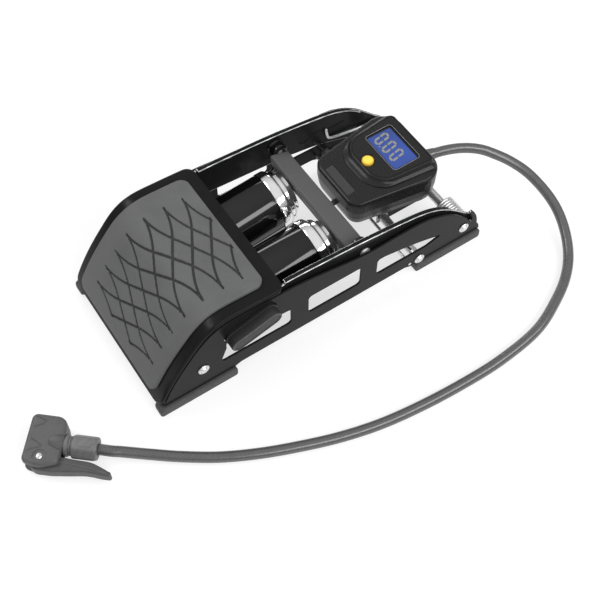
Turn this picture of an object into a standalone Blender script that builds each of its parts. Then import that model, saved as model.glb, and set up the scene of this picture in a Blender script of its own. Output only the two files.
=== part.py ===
"""A folding twin-barrel foot pump with a digital pressure gauge, stored closed with its hose out.

In the pump's own frame X runs from the front feet to the rear hinge, Y from the near side to the
far side with 0 on the middle plane, and Z up from the floor. The empty pump_frame moves that
frame so that the bottom centre of the pump's own box is the world origin. Sizes are in
millimetres, and each mesh is made in metres.
"""

import math

import bmesh
import bpy
from mathutils import Matrix, Vector

MM = 0.001

# Driving sizes of the pump.
LENGTH = 335.0
HALF_WIDTH = 77.0
KNOB_OUT = 8.0
GAP = 0.3
PLATE_OUT = 74.5
PLATE = 2.0
ARM_OUT = 70.0
FOOT_TOP = 11.0
PLATE_LOW = FOOT_TOP + 0.3
FOOT_WIDTH = 11.0

# Axles, as (X, Z), and their radii.
FRONT_AXLE = (44.5, 36.3)
MAIN_AXLE = (314.0, 26.7)
CROSS_ROD = (265.6, 16.9)
THIN_ROD = (255.0, 17.0)
AXLE_R = 4.5
THIN_R = 1.5
HOLE_R = AXLE_R + GAP
BUSH_R = 7.0
HEAD_R = 5.2

# The two cylinders, placed along the line from the front axle to the rod pins.
ROD_PIN = (199.0, 49.5)
BARREL_Y = 31.2
BARREL_R = 27.2
BORE_R = 25.6
BARREL_START = 17.0
BARREL_END = 131.0
CAP_WALL = 2.2
ROD_R = 5.0
ROD_EYE_R = 6.2
PIN_R = 3.0

# The gauge on its bracket.
GAUGE_FRONT = 222.0
GAUGE_REAR = 313.0
GAUGE_BOTTOM = 40.0
GAUGE_SPLIT = 70.0
GAUGE_TOP = 76.5
BEZEL_TOP = 82.5
BUTTON = (258.4, 0.0)
LCD_X = (272.5, 297.0)
LCD_HALF = 20.6
CELL = (246.0, 0.0)

# The hose, and the chuck's head, turned about Z to lie as it was put down.
HOSE_R = 4.7
HOSE_Z = HOSE_R + GAP
EXIT = (GAUGE_REAR, -6.0, 55.0)
EXIT_TURN = -11.5
GLAND_LENGTH = 10.0
CHUCK = (-89.35, -50.5)
CHUCK_TURN = 49.2
CHUCK_HEIGHT = 22.0
CHUCK_PIN = (-16.0, 0.7)
NUT_R = 10.4
NUT_END = -42.0

HOSE_ROUTE = [
    (332.5, -10.2, 55),
    (342.5, -13.0, 54.5),
    (352, -16, 53),
    (361, -19.8, 51),
    (369, -24.8, 49),
    (376.5, -31, 46),
    (389, -45.5, 40),
    (398.5, -64.5, 33),
    (402.5, -91, 24),
    (399, -114, 16),
    (387.5, -137.5, 8.5),
    (370, -155.6, 5.5),
    (345.5, -170.6, HOSE_Z),
    (311, -184.8, HOSE_Z),
    (265.5, -190.6, HOSE_Z),
    (222.5, -190.4, HOSE_Z),
    (182.5, -187.6, HOSE_Z),
    (145.5, -182.4, HOSE_Z),
    (111.5, -173.8, HOSE_Z),
    (80, -162.6, HOSE_Z),
    (50, -150, HOSE_Z),
    (21, -134.8, HOSE_Z),
    (-5.5, -117, 5.5),
    (-26, -101.6, 6.8),
    (-44.5, -88, 9.4),
]


# Materials.


def material(name, colour, roughness, metallic=0.0, alpha=1.0):
    made = bpy.data.materials.new(name)
    made.use_nodes = True
    shader = made.node_tree.nodes["Principled BSDF"]
    shader.inputs["Base Color"].default_value = (*colour, 1.0)
    shader.inputs["Roughness"].default_value = roughness
    shader.inputs["Metallic"].default_value = metallic
    shader.inputs["Alpha"].default_value = alpha
    return made


def painted(name):
    return material(name, (0.018, 0.018, 0.019), 0.35)


def steel(name):
    return material(name, (0.62, 0.62, 0.63), 0.28, 1.0)


def chrome(name):
    return material(name, (0.85, 0.85, 0.86), 0.08, 1.0)


def grey_rubber(name):
    return material(name, (0.09, 0.09, 0.092), 0.75)


def dark_plastic(name):
    return material(name, (0.045, 0.045, 0.047), 0.5)


# Meshes.


def clear_scene():
    for thing in list(bpy.data.objects):
        bpy.data.objects.remove(thing)


def place(name, mesh, look, parent, at=(0.0, 0.0, 0.0), turn=(0.0, 0.0, 0.0)):
    """An object of this mesh, at a place in its parent in millimetres and turned in degrees."""
    thing = bpy.data.objects.new(name, mesh)
    bpy.context.scene.collection.objects.link(thing)
    thing.parent = parent
    thing.location = Vector(at) * MM
    thing.rotation_euler = [math.radians(angle) for angle in turn]
    if look is not None:
        thing.data.materials.append(look(name))
    return thing


def finished(bm, name, sharp=35.0):
    """The mesh of a bmesh in millimetres, in metres, facing out and shaded smooth."""
    bmesh.ops.remove_doubles(bm, verts=bm.verts, dist=1e-4)
    bmesh.ops.recalc_face_normals(bm, faces=bm.faces)
    bmesh.ops.scale(bm, vec=(MM, MM, MM), verts=bm.verts)
    mesh = bpy.data.meshes.new(name)
    bm.to_mesh(mesh)
    bm.free()
    mesh.shade_smooth()
    mesh.set_sharp_from_angle(angle=math.radians(sharp))
    return mesh


def ring_of(bm, points):
    verts = [bm.verts.new(point) for point in points]
    edges = [bm.edges.new((verts[i - 1], verts[i])) for i in range(len(verts))]
    return verts, edges


def lofted(name, loops, sharp=35.0):
    """A solid through closed loops of one length, with a flat cap at each end."""
    bm = bmesh.new()
    rings = [[bm.verts.new(point) for point in loop] for loop in loops]
    count = len(rings[0])
    for lower, upper in zip(rings, rings[1:]):
        for i in range(count):
            bm.faces.new((lower[i - 1], lower[i], upper[i], upper[i - 1]))
    bm.faces.new(rings[0])
    bm.faces.new(rings[-1])
    return finished(bm, name, sharp)


def extruded(name, outline, low, high, holes=(), along="Y", edge=0.0):
    """A flat piece: an outline with holes, extruded between low and high along Y or Z.

    The outline's two numbers are X and Z for a piece along Y, and X and Y for one along Z.
    """

    def lift(point, level):
        return (point[0], level, point[1]) if along == "Y" else (point[0], point[1], level)

    bm = bmesh.new()
    edges = []
    for loop in (outline, *holes):
        edges += ring_of(bm, [lift(point, low) for point in loop])[1]
    bmesh.ops.triangle_fill(bm, use_beauty=True, edges=edges)
    inside = [edge for edge in bm.edges if len(edge.link_faces) == 2]
    bmesh.ops.dissolve_limit(bm, angle_limit=0.01, verts=[], edges=inside)
    raised = bmesh.ops.extrude_face_region(bm, geom=list(bm.faces), use_keep_orig=True)
    tops = [item for item in raised["geom"] if isinstance(item, bmesh.types.BMVert)]
    shift = Vector(lift((0.0, 0.0), high - low))
    bmesh.ops.translate(bm, vec=shift, verts=tops)
    bmesh.ops.recalc_face_normals(bm, faces=bm.faces)
    if edge:
        sharp = [e for e in bm.edges if e.is_manifold and e.calc_face_angle() > 1.2]
        flat = [e for e in sharp if abs((e.verts[0].co - e.verts[1].co).dot(shift)) < 1e-6]
        bmesh.ops.bevel(bm, geom=flat, offset=edge, segments=1, affect="EDGES", profile=0.5)
    return finished(bm, name)


def turned(name, profile, steps=24, axis="Y", sharp=35.0):
    """A turned piece from a closed outline of (radius, place along the axis)."""
    bm = bmesh.new()
    points = [(radius, along, 0.0) for radius, along in profile]
    verts, edges = ring_of(bm, points)
    bmesh.ops.spin(
        bm,
        geom=verts + edges,
        axis=(0.0, 1.0, 0.0),
        cent=(0.0, 0.0, 0.0),
        angle=2.0 * math.pi,
        steps=steps,
        use_merge=True,
    )
    bmesh.ops.remove_doubles(bm, verts=bm.verts, dist=1e-4)
    loose = [edge for edge in bm.edges if not edge.link_faces]
    bmesh.ops.delete(bm, geom=loose, context="EDGES")
    towards = {"X": Matrix.Rotation(-math.pi / 2, 3, "Z"), "Z": Matrix.Rotation(math.pi / 2, 3, "X")}
    if axis in towards:
        bmesh.ops.rotate(bm, cent=(0.0, 0.0, 0.0), matrix=towards[axis], verts=bm.verts)
    return finished(bm, name, sharp)


def wire(name, points, radius, look, parent, resolution=2):
    """A round wire or tube along points, with filled ends."""
    data = bpy.data.curves.new(name, "CURVE")
    data.dimensions = "3D"
    data.bevel_depth = radius * MM
    data.bevel_resolution = resolution
    data.use_fill_caps = True
    line = data.splines.new("POLY")
    line.points.add(len(points) - 1)
    for item, point in zip(line.points, points):
        item.co = (*(Vector(point) * MM), 1.0)
    return place(name, data, look, parent)


def cut(thing, cutter_mesh, parent, at=(0.0, 0.0, 0.0), turn=(0.0, 0.0, 0.0), operation="DIFFERENCE"):
    """Cuts a helper's shape from a piece, or joins it on."""
    helper = place(f"helper_{thing.name}_{len(thing.modifiers)}", cutter_mesh, None, parent, at, turn)
    helper.hide_render = True
    helper.display_type = "WIRE"
    boolean = thing.modifiers.new("shape", "BOOLEAN")
    boolean.operation = operation
    boolean.solver = "EXACT"
    boolean.object = helper


# Outlines.


def arc(centre, radius, start, end, steps):
    """Points on an arc about a centre, between two angles in degrees, both ends included."""
    points = []
    for i in range(steps + 1):
        angle = math.radians(start + (end - start) * i / steps)
        points.append((centre[0] + radius * math.cos(angle), centre[1] + radius * math.sin(angle)))
    return points


def circle(centre, radius, steps=20):
    return arc(centre, radius, 0.0, 360.0, steps)[:-1]


def rounded(corners, steps=4):
    """A closed outline whose corners (x, y, radius) are rounded off."""
    points = []
    for i, (x, y, radius) in enumerate(corners):
        here = Vector((x, y))
        before = (Vector(corners[i - 1][:2]) - here).normalized()
        after = (Vector(corners[(i + 1) % len(corners)][:2]) - here).normalized()
        if radius <= 0.0:
            points.append((x, y))
            continue
        half = before.angle(after) / 2.0
        centre = here + (before + after).normalized() * radius / math.sin(half)
        first = here + before * radius / math.tan(half) - centre
        last = here + after * radius / math.tan(half) - centre
        sweep = first.angle_signed(last)
        for k in range(steps + 1):
            turned_by = Matrix.Rotation(-sweep * k / steps, 2)
            points.append(tuple(centre + turned_by @ first))
    return points


def capsule(centre, half, radius, tilt, steps=7):
    """A bar with round ends, its straight sides half long each way and tilted in degrees."""
    points = []
    for side in (0.0, 180.0):
        angle = math.radians(tilt + side)
        end = (centre[0] + half * math.cos(angle), centre[1] + half * math.sin(angle))
        points += arc(end, radius, tilt + side - 90.0, tilt + side + 90.0, steps)
    return points


def smooth(points, step):
    """Points about a step apart on a smooth curve through the given ones, in two or three axes."""
    knots = [Vector(point) for point in points]
    knots = [2 * knots[0] - knots[1], *knots, 2 * knots[-1] - knots[-2]]
    found = []
    for before, start, end, after in zip(knots, knots[1:], knots[2:], knots[3:]):
        count = max(1, round((end - start).length / step))
        for k in range(count):
            t = k / count
            point = 2 * start + (end - before) * t
            point = point + (2 * before - 5 * start + 4 * end - after) * t**2
            point = point + (3 * start - before - 3 * end + after) * t**3
            found.append(tuple(point / 2))
    return [*found, tuple(knots[-2])]


def box_loop(x, y, z):
    return [(x[0], y[0], z), (x[1], y[0], z), (x[1], y[1], z), (x[0], y[1], z)]


def block(name, x, y, z):
    return lofted(name, [box_loop(x, y, z[0]), box_loop(x, y, z[1])])


# The base: two side plates on rubber feet, joined by riveted rods.

PLATE_TOP = [
    (4.5, PLATE_LOW),
    (7, 17),
    (12.5, 28),
    (21.2, 42),
    (34, 59),
    (44.2, 70.7),
    (53, 78.4),
    (62, 83),
    (73, 84.8),
    (91, 84.6),
    (110, 83.8),
    (128.5, 83.2),
    (146, 81.6),
    (168, 78),
    (190, 73.8),
    (208, 71.6),
    (239, 72.2),
    (260, 72),
    (271, 70.4),
    (282, 66.2),
    (294, 59.2),
    (305, 50.5),
    (314, 41),
    (319.6, 32.5),
]
PLATE_HOOK = [
    (321.9, 30.5),
    (323.1, 32),
    (322.6, 36),
    (320.4, 41),
    (318.2, 45),
    (318.7, 46.9),
    (320.8, 46.4),
    (324.6, 41),
    (327.8, 34.5),
    (329.6, 28),
    (330.6, 21.5),
    (333.4, 17),
    (334.6, PLATE_LOW),
]
PLATE_REAR = [(324.0, 27.5), (328.5, 23.5), (330.6, 20.5), (333.4, 17), (334.6, PLATE_LOW)]
ARCH = [(257.0, PLATE_LOW), (250.0, 14.0), (80.0, 14.0), (73.0, PLATE_LOW)]
WINDOW_MIDDLE = [(147.5, 31, 3.5), (200.5, 31, 3.5), (200.5, 55, 3.5), (147.5, 55, 3.5)]
WINDOW_REAR = [
    (218, 30.5, 3.5),
    (272, 30.5, 4),
    (289, 35.8, 1.2),
    (254, 46, 12),
    (226, 51.8, 2),
    (218, 52, 3),
]
LATCH_PIVOT = (107.3, 71.2)
LATCH_TIP = (74.7, 61.8)
LATCH_TILT = math.degrees(math.atan2(LATCH_PIVOT[1] - LATCH_TIP[1], LATCH_PIVOT[0] - LATCH_TIP[0]))
LATCH_SPACE = 8.6


def front_window():
    """The front window, which opens at its top into the latch's own rounded space."""
    right = rounded([(61, 31, 3), (130, 31, 3.5), (130, 52, 3.5), (100, 52, 0), (67.6, 48, 0)], 3)[:-2]
    right.append((120.5, 52.6))
    over = arc(LATCH_PIVOT, LATCH_SPACE, -48.0, LATCH_TILT + 90.0, 6)
    back = arc(LATCH_TIP, LATCH_SPACE, LATCH_TILT + 90.0, 222.0, 5)
    return right + over + back + [(67.6, 51.5), (67.6, 48.0)]


def side_plate(name, side, parent):
    """A pressed plate with three windows. Only the near one ends in a hook."""
    outline = smooth(PLATE_TOP, 9.0) + (PLATE_HOOK if side < 0 else PLATE_REAR) + ARCH
    holes = [front_window(), rounded(WINDOW_MIDDLE, 3), rounded(WINDOW_REAR, 3)]
    holes += [circle(axle, HOLE_R, 12) for axle in (FRONT_AXLE, MAIN_AXLE, CROSS_ROD)]
    holes.append(circle(THIN_ROD, THIN_R + GAP, 8))
    levels = sorted((side * PLATE_OUT, side * (PLATE_OUT - PLATE)))
    place(name, extruded(name, outline, *levels, holes=holes, edge=0.35), painted, parent)


def foot(name, side, front, rear, parent):
    """A rubber strip under the edge of a side plate, round at both ends."""
    low = side * (HALF_WIDTH - FOOT_WIDTH)
    high = side * HALF_WIDTH
    outline = rounded([(front, 0.0, 3.0), (rear, 0.0, 3.0), (rear, FOOT_TOP, 2.5), (front, FOOT_TOP, 2.5)])
    mesh = extruded(name, outline, *sorted((low, high)), edge=1.0)
    place(name, mesh, grey_rubber, parent)


def riveted_rod(name, axle, radius, parent, head=HEAD_R):
    """A rod right across the base, with a domed head on the outside of each plate."""
    under = PLATE_OUT + GAP
    half = [(0.0, HALF_WIDTH), (head * 0.6, HALF_WIDTH - 0.3), (head, under + 0.8)]
    half += [(head, under), (radius, under)]
    profile = half + [(r, -y) for r, y in reversed(half)]
    place(name, turned(name, profile, 16), steel, parent, (axle[0], 0.0, axle[1]))


def make_base(parent):
    for side, word in ((-1, "near"), (1, "far")):
        side_plate(f"side_plate_{word}", side, parent)
        foot(f"foot_front_{word}", side, 0.0, 75.0, parent)
        foot(f"foot_rear_{word}", side, 262.0, LENGTH, parent)
    riveted_rod("front_axle", FRONT_AXLE, AXLE_R, parent)
    riveted_rod("main_axle", MAIN_AXLE, AXLE_R, parent)
    riveted_rod("cross_rod", CROSS_ROD, AXLE_R, parent)
    ends = PLATE_OUT + 0.6
    thin = turned("thin_rod", [(0, -ends), (THIN_R, -ends), (THIN_R, ends), (0, ends)], 10)
    place("thin_rod", thin, steel, parent, (THIN_ROD[0], 0.0, THIN_ROD[1]))


# The pedal arm: two arm plates, the curved pedal with its pad, and the crossbar.

PEDAL_CURVE = [
    (1.5, 14),
    (7.1, 26.4),
    (15.2, 40.5),
    (24, 53.4),
    (34.5, 66.7),
    (44.6, 78.2),
    (53, 84.9),
    (62, 88.9),
    (73, 90.6),
    (91, 90.2),
    (109.5, 89.4),
    (124.5, 88.4),
]
PEDAL_HALF = 75.0
PEDAL_SHEET = 1.6
PEDAL_RISE = 1.0
LIP = 1.8
EDGE_R = 2.4
PAD_HALF = 64.0
PAD_THICK = 2.8
PAD_FROM = 7.5
PAD_TO = 11.5
ARM_TOP = [
    (127.5, 88.0),
    (146, 87.6),
    (167.5, 86.4),
    (189, 85.2),
    (210, 83.5),
    (241, 80),
    (263, 76.6),
    (276, 72.8),
    (287, 67.4),
    (299, 58.6),
    (309, 49.4),
]
ARM_PLATE = 2.0
ARM_DROP = 1.4
FLANGE = 2.5
FLANGE_THICK = 1.6
CROSSBAR_HALF = 58.0
CROSSBAR_OUTSIDE = [(196.8, 57.5, 0), (194.4, 72.3, 2.0), (214.0, 66.2, 2.0), (214.6, 60.8, 0)]
CROSSBAR_INSIDE = [(212.6, 60.8, 0), (212.2, 64.7, 0.6), (196.7, 69.5, 0.6), (198.7, 57.5, 0)]
CROSSBAR_BOLT = (206.0, 69.0)
COLLAR_R = 7.5
BOLT_R = 2.6
LUG_SLOT = [(ROD_PIN[0] - 1.5, ROD_PIN[1] - 1.5), (ROD_PIN[0] + 8.0, ROD_PIN[1] - 3.0)]
LUG_SLOT_R = 4.95
LUG_R = 6.75
LUG_Y = (54.5, 57.5)
LUG_FOOT = [(199.3, 57.0), (199.3, 68.3), (211.8, 64.4), (211.8, 60.0)]


def pedal_stations(start, end, corner):
    """Places along the pedal's curve: (point, outward normal, how far the corner draws in)."""
    line = [Vector(point) for point in smooth(PEDAL_CURVE, 1.0)]
    lengths = [0.0]
    for before, here in zip(line, line[1:]):
        lengths.append(lengths[-1] + (here - before).length)
    end = lengths[-1] - end
    corners = [corner * (1.0 - math.cos(math.radians(18 * k))) for k in range(6)]
    middle = end - start - 2 * corner
    count = round(middle / 6.5)
    wanted = [start + c for c in corners[:-1]]
    wanted += [start + corner + middle * k / count for k in range(count + 1)]
    wanted += [end - c for c in reversed(corners[:-1])]
    stations = []
    for place_along in wanted:
        i = min(range(len(line) - 1), key=lambda n: abs((lengths[n] + lengths[n + 1]) / 2 - place_along))
        share = (place_along - lengths[i]) / (lengths[i + 1] - lengths[i])
        along = (line[i + 1] - line[i]).normalized()
        point = line[i].lerp(line[i + 1], share)
        near_end = min(place_along - start, end - place_along)
        depth = max(0.0, corner - near_end)
        stations.append((point, Vector((-along.y, along.x)), corner - math.sqrt(corner**2 - depth**2)))
    return stations


def along_pedal(name, section, start, end, corner):
    """A sheet on the pedal's curve. section is a closed loop of (Y, height over the curve)."""
    loops = []
    for point, normal, inset in pedal_stations(start, end, corner):
        loop = []
        for y, height in section:
            at = point + normal * height
            loop.append((at.x, math.copysign(abs(y) - inset, y), at.y))
        loops.append(loop)
    return lofted(name, loops)


def pedal_section():
    """The sheet's section, its two edges rolled down."""
    bend = (PEDAL_HALF - EDGE_R, PEDAL_RISE - EDGE_R)
    outer = [(PEDAL_HALF, -LIP)] + arc(bend, EDGE_R, 0.0, 90.0, 3)
    inner = arc(bend, EDGE_R - PEDAL_SHEET, 90.0, 0.0, 2) + [(PEDAL_HALF - PEDAL_SHEET, -LIP)]
    mirrored = [(-y, height) for y, height in reversed(outer)]
    return outer + mirrored + [(-y, height) for y, height in reversed(inner)] + inner


def pad_section():
    low = PEDAL_RISE + GAP
    high = low + PAD_THICK
    half = [(PAD_HALF, low), (PAD_HALF, high - 1.2), (PAD_HALF - 0.5, high - 0.4), (PAD_HALF - 1.6, high)]
    return half + [(-y, height) for y, height in reversed(half)]


def arm_outline():
    """From the flat under the pedal along the top edge, round the hinge and back below."""
    under = [Vector(point) for point in PEDAL_CURVE]
    front = []
    for before, here, after in zip(under[4:], under[5:], under[6:]):
        along = (after - before).normalized()
        front.append(tuple(here + Vector((along.y, -along.x)) * ARM_DROP))
    front += [(114.5, 86.9), (126.2, 86.3)]
    hinge = arc(MAIN_AXLE, 15.4, 10.0, -125.0, 7)
    below = [(296, 20), (286, 28.5), (254, 39), (215, 45.5), (130, 51.5), (70, 55), (47, 52), (38, 56)]
    return front + smooth(ARM_TOP, 8.0) + [(318, 40.5), (325, 34.6)] + hinge + below


def arm_flange():
    """The narrow edge turned in along the top of an arm plate."""
    top = smooth(ARM_TOP[:-1], 8.0)
    under = [(x, z - FLANGE_THICK) for x, z in reversed(top)]
    return top + under


def lug_outline():
    """A tab inside the crossbar that ends below it, round the two ends of the pin's slot."""
    round_near = arc(LUG_SLOT[0], LUG_R, 130.0, 255.0, 7)
    round_far = arc(LUG_SLOT[1], LUG_R, 255.0, 405.0, 8)
    return LUG_FOOT[1::-1] + round_near + round_far + LUG_FOOT[:1:-1]


def lug_slot():
    start, end = (Vector(point) for point in LUG_SLOT)
    along = end - start
    tilt = math.degrees(math.atan2(along.y, along.x))
    return capsule((start + end) / 2, along.length / 2, LUG_SLOT_R, tilt, 6)


def make_arm(parent):
    for side, word in ((-1, "near"), (1, "far")):
        name = f"arm_plate_{word}"
        holes = [circle(MAIN_AXLE, BUSH_R + GAP, 20), circle(CROSSBAR_BOLT, BOLT_R + GAP, 12)]
        levels = sorted((side * ARM_OUT, side * (ARM_OUT - ARM_PLATE)))
        plate = place(name, extruded(name, arm_outline(), *levels, holes=holes), painted, parent)
        inner = side * (ARM_OUT - ARM_PLATE - FLANGE)
        edge = side * (ARM_OUT - ARM_PLATE / 2)
        flange = extruded(f"{name}_flange", arm_flange(), *sorted((inner, edge)))
        cut(plate, flange, parent, operation="UNION")

        name = f"pivot_bush_{word}"
        ring = [(HOLE_R, 64.6), (BUSH_R, 64.6), (BUSH_R, 72.2), (HOLE_R, 72.2)]
        ring = [(r, side * y) for r, y in ring]
        place(name, turned(name, ring, 20), steel, parent, (MAIN_AXLE[0], 0.0, MAIN_AXLE[1]))

        name = f"crossbar_lug_{word}"
        levels = sorted(side * y for y in LUG_Y)
        lug = extruded(name, lug_outline(), *levels, holes=[lug_slot()])
        place(name, lug, painted, parent)

        name = f"crossbar_collar_{word}"
        inner = CROSSBAR_HALF + GAP
        outer = ARM_OUT - ARM_PLATE - GAP
        ring = [(BOLT_R + GAP, inner), (COLLAR_R, inner), (COLLAR_R, outer - 1.5), (COLLAR_R + 1.0, outer)]
        ring = [(r, side * y) for r, y in [*ring, (BOLT_R + GAP, outer)]]
        place(name, turned(name, ring, 20), painted, parent, (CROSSBAR_BOLT[0], 0.0, CROSSBAR_BOLT[1]))

        name = f"crossbar_bolt_{word}"
        head = [(0, 72.0), (3.4, 72.0), (5.0, 70.9), (5.0, ARM_OUT + GAP), (BOLT_R, ARM_OUT + GAP)]
        head += [(BOLT_R, CROSSBAR_HALF + 1.0), (0, CROSSBAR_HALF + 1.0)]
        bolt = turned(name, [(r, side * y) for r, y in head], 16)
        place(name, bolt, steel, parent, (CROSSBAR_BOLT[0], 0.0, CROSSBAR_BOLT[1]))

    pedal = along_pedal("pedal_plate", pedal_section(), 0.0, 0.0, 8.0)
    place("pedal_plate", pedal, painted, parent)
    pad = along_pedal("pedal_pad", pad_section(), PAD_FROM, PAD_TO, 9.0)
    place("pedal_pad", pad, grey_rubber, parent)
    section = rounded(CROSSBAR_OUTSIDE, 3) + rounded(CROSSBAR_INSIDE, 1)
    bar = extruded("crossbar", section, -CROSSBAR_HALF, CROSSBAR_HALF)
    place("crossbar", bar, grey_rubber, parent)


# The torsion springs on the main axle, each with one leg hooked on its arm plate.

COIL_R = 8.75
SPRING_WIRE = 1.25
COIL_FROM = 46.0
COIL_PITCH = 2.65
COIL_TURNS = 7
TURN_POINTS = 10


def torsion_spring(name, side, parent):
    """A coil from its base leg on the cross rod out to its arm leg beside the arm plate."""
    x0, z0 = MAIN_AXLE
    points = [(CROSS_ROD[0] - 3.0, side * COIL_FROM, CROSS_ROD[1] + AXLE_R + SPRING_WIRE + 0.5)]
    points.append((x0 - 24.0, side * COIL_FROM, z0 - 6.5))
    start = -90.0
    total = COIL_TURNS * 360.0 + 180.0
    count = round(total / 360.0 * TURN_POINTS)
    for k in range(count + 1):
        angle = math.radians(start + total * k / count)
        out = COIL_FROM + COIL_PITCH * (total * k / count) / 360.0
        points.append((x0 + COIL_R * math.cos(angle), side * out, z0 + COIL_R * math.sin(angle)))
    out = side * (COIL_FROM + COIL_PITCH * total / 360.0)
    points.append((x0 - 20.0, out, z0 + 12.0))
    points.append((267.0, side * 66.2, 43.0))
    points.append((262.5, side * 66.2, 48.0))
    points.append((260.5, side * 66.2, 58.0))
    wire(name, points, SPRING_WIRE, steel, parent, 1)


def make_springs(parent):
    for side, word in ((-1, "near"), (1, "far")):
        torsion_spring(f"torsion_spring_{word}", side, parent)


# The two cylinders, in a frame on the front axle whose X is their own axis.


def make_cylinders(parent):
    lug_half = 5.5
    for side, word in ((-1, "near"), (1, "far")):
        at = (0.0, side * BARREL_Y, 0.0)

        name = f"barrel_{word}"
        wall = [(BORE_R, BARREL_START), (BARREL_R, BARREL_START)]
        wall += [(BARREL_R, BARREL_END), (BORE_R, BARREL_END)]
        place(name, turned(name, wall, 36, "X"), painted, parent, at)

        name = f"base_cap_{word}"
        spigot = BORE_R - GAP
        profile = [(0, 10.5), (23.0, 10.5), (BARREL_R, 13.0), (BARREL_R, 16.7), (spigot, 16.7)]
        profile += [(spigot, 21.0), (spigot - CAP_WALL, 21.0), (spigot - CAP_WALL, 13.6), (0, 13.6)]
        cap = place(name, turned(name, profile, 36, "X"), painted, parent, at)
        eye = [(11.5, -9.5), (11.5, 9.5), (0, 9.5)] + arc((0, 0), 9.5, 105.0, 255.0, 8) + [(0, -9.5)]
        cut(cap, extruded(f"{name}_eye", eye, -lug_half, lug_half), parent, at, operation="UNION")
        bore = turned(f"{name}_bore", [(0, -9), (HOLE_R, -9), (HOLE_R, 9), (0, 9)], 16)
        cut(cap, bore, parent, at)

        name = f"end_cap_{word}"
        hole = ROD_R + 0.4
        profile = [(hole, 126.0), (hole + CAP_WALL, 126.0), (hole + CAP_WALL, 142.0)]
        profile += [(spigot - CAP_WALL - 2.0, 142.0), (spigot - CAP_WALL, 136.0), (spigot - CAP_WALL, 125.0)]
        profile += [(spigot, 125.0), (spigot, BARREL_END + GAP), (27.6, BARREL_END + GAP), (27.7, 137.5)]
        profile += [(26.9, 142.0), (24.9, 145.4), (22.4, 147.2), (19.4, 147.4), (19.4, 150.5), (18.4, 151.5)]
        profile += [(9.0, 151.5), (9.0, 148.0), (hole, 148.0)]
        place(name, turned(name, profile, 36, "X"), chrome, parent, at)


def make_pistons(parent):
    reach = math.dist(ROD_PIN, FRONT_AXLE)
    for side, word in ((-1, "near"), (1, "far")):
        at = (0.0, side * BARREL_Y, 0.0)

        name = f"piston_{word}"
        rim = BORE_R - GAP
        profile = [(ROD_R + GAP, 25.0), (rim - 1.0, 25.0), (rim, 26.0), (rim, 37.0), (ROD_R + GAP, 37.0)]
        place(name, turned(name, profile, 28, "X"), dark_plastic, parent, at)

        name = f"piston_rod_{word}"
        neck = reach - 5.8
        profile = [(0, 24.0), (ROD_R, 24.0), (ROD_R, neck), (0, neck)]
        rod = place(name, turned(name, profile, 20, "X"), steel, parent, at)
        eye = [(neck - 8.0, 3.6), (neck - 8.0, -3.6)] + arc((reach, 0), ROD_EYE_R, -140.0, 140.0, 12)
        eye_mesh = extruded(f"{name}_eye", eye, -3.2, 3.2, holes=[circle((reach, 0), PIN_R + GAP, 12)])
        past_neck = turned(f"{name}_end", [(0, 0), (9, 0), (9, 30), (0, 30)], 12, "X")
        cut(rod, past_neck, parent, (neck - 6.0, side * BARREL_Y, 0.0))
        cut(rod, eye_mesh, parent, at, operation="UNION")

        name = f"rod_pin_{word}"
        head = BARREL_Y - 5.0
        tip = LUG_Y[1] + 1.2
        pin = [(0, head), (4.4, head), (4.4, head + 1.4), (PIN_R, head + 1.4)]
        pin += [(PIN_R, tip - 0.6), (2.4, tip), (0, tip)]
        pin_mesh = turned(name, [(r, side * y) for r, y in pin], 16)
        place(name, pin_mesh, steel, parent, (reach, 0.0, 0.0))


# The latch, pressed down by its front end about a pivot in its rear end.

LATCH_R = 8.0
LATCH_STUB_R = 3.0
LATCH_CARRIER = (71.2, 72.2)


def make_latch_carrier(parent):
    """A small plate behind the near side plate that holds the latch's pivot."""
    name = "latch_carrier"
    x, z = LATCH_PIVOT
    outline = rounded([(x - 7, z - 12, 3), (x + 17, z - 15, 3), (x + 17, z + 6, 3), (x - 7, z + 8, 3)], 2)
    levels = sorted(-y for y in LATCH_CARRIER)
    mesh = extruded(name, outline, *levels, holes=[circle(LATCH_PIVOT, LATCH_STUB_R + GAP, 12)])
    place(name, mesh, painted, parent)


def make_latch(parent):
    """A rounded bar, tapered outward, with a pivot stub on the inner side of its rear end."""
    half = math.dist(LATCH_PIVOT, LATCH_TIP) / 2

    def ring(y, middle, reach, radius):
        outline = capsule((middle * math.cos(tilt), middle * math.sin(tilt)), reach, radius, LATCH_TILT)
        return [(x, -y, z) for x, z in outline]

    tilt = math.radians(LATCH_TILT)
    inner = LATCH_CARRIER[1] + GAP
    outer = HALF_WIDTH + KNOB_OUT
    loops = [
        ring(LATCH_CARRIER[0], 0.0, 0.01, LATCH_STUB_R),
        ring(inner, 0.0, 0.01, LATCH_STUB_R),
        ring(inner, -half, half, LATCH_R),
        ring(PLATE_OUT + 1.5, -half, half, LATCH_R),
        ring(outer - 1.6, -half, half - 0.6, LATCH_R - 1.9),
        ring(outer - 0.4, -half, half - 0.6, LATCH_R - 2.5),
        ring(outer, -half, half - 0.6, LATCH_R - 3.5),
    ]
    place("latch_knob", lofted("latch_knob", loops), dark_plastic, parent)


# The gauge, its bracket and what is inside.


def gauge_loop(z, inset=0.0):
    """The gauge's plan at one height, a little wider at the rear than at the front."""
    front = GAUGE_FRONT + inset
    rear = GAUGE_REAR - inset
    narrow = 31 - inset
    wide = 45.5 - inset
    corners = [(front, -narrow, 13), (rear, -wide, 19), (rear, wide, 19), (front, narrow, 13)]
    corners = [(x, y, max(radius - inset, 2.0)) for x, y, radius in corners]
    return [(x, y, z) for x, y in rounded(corners, 5)]


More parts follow.
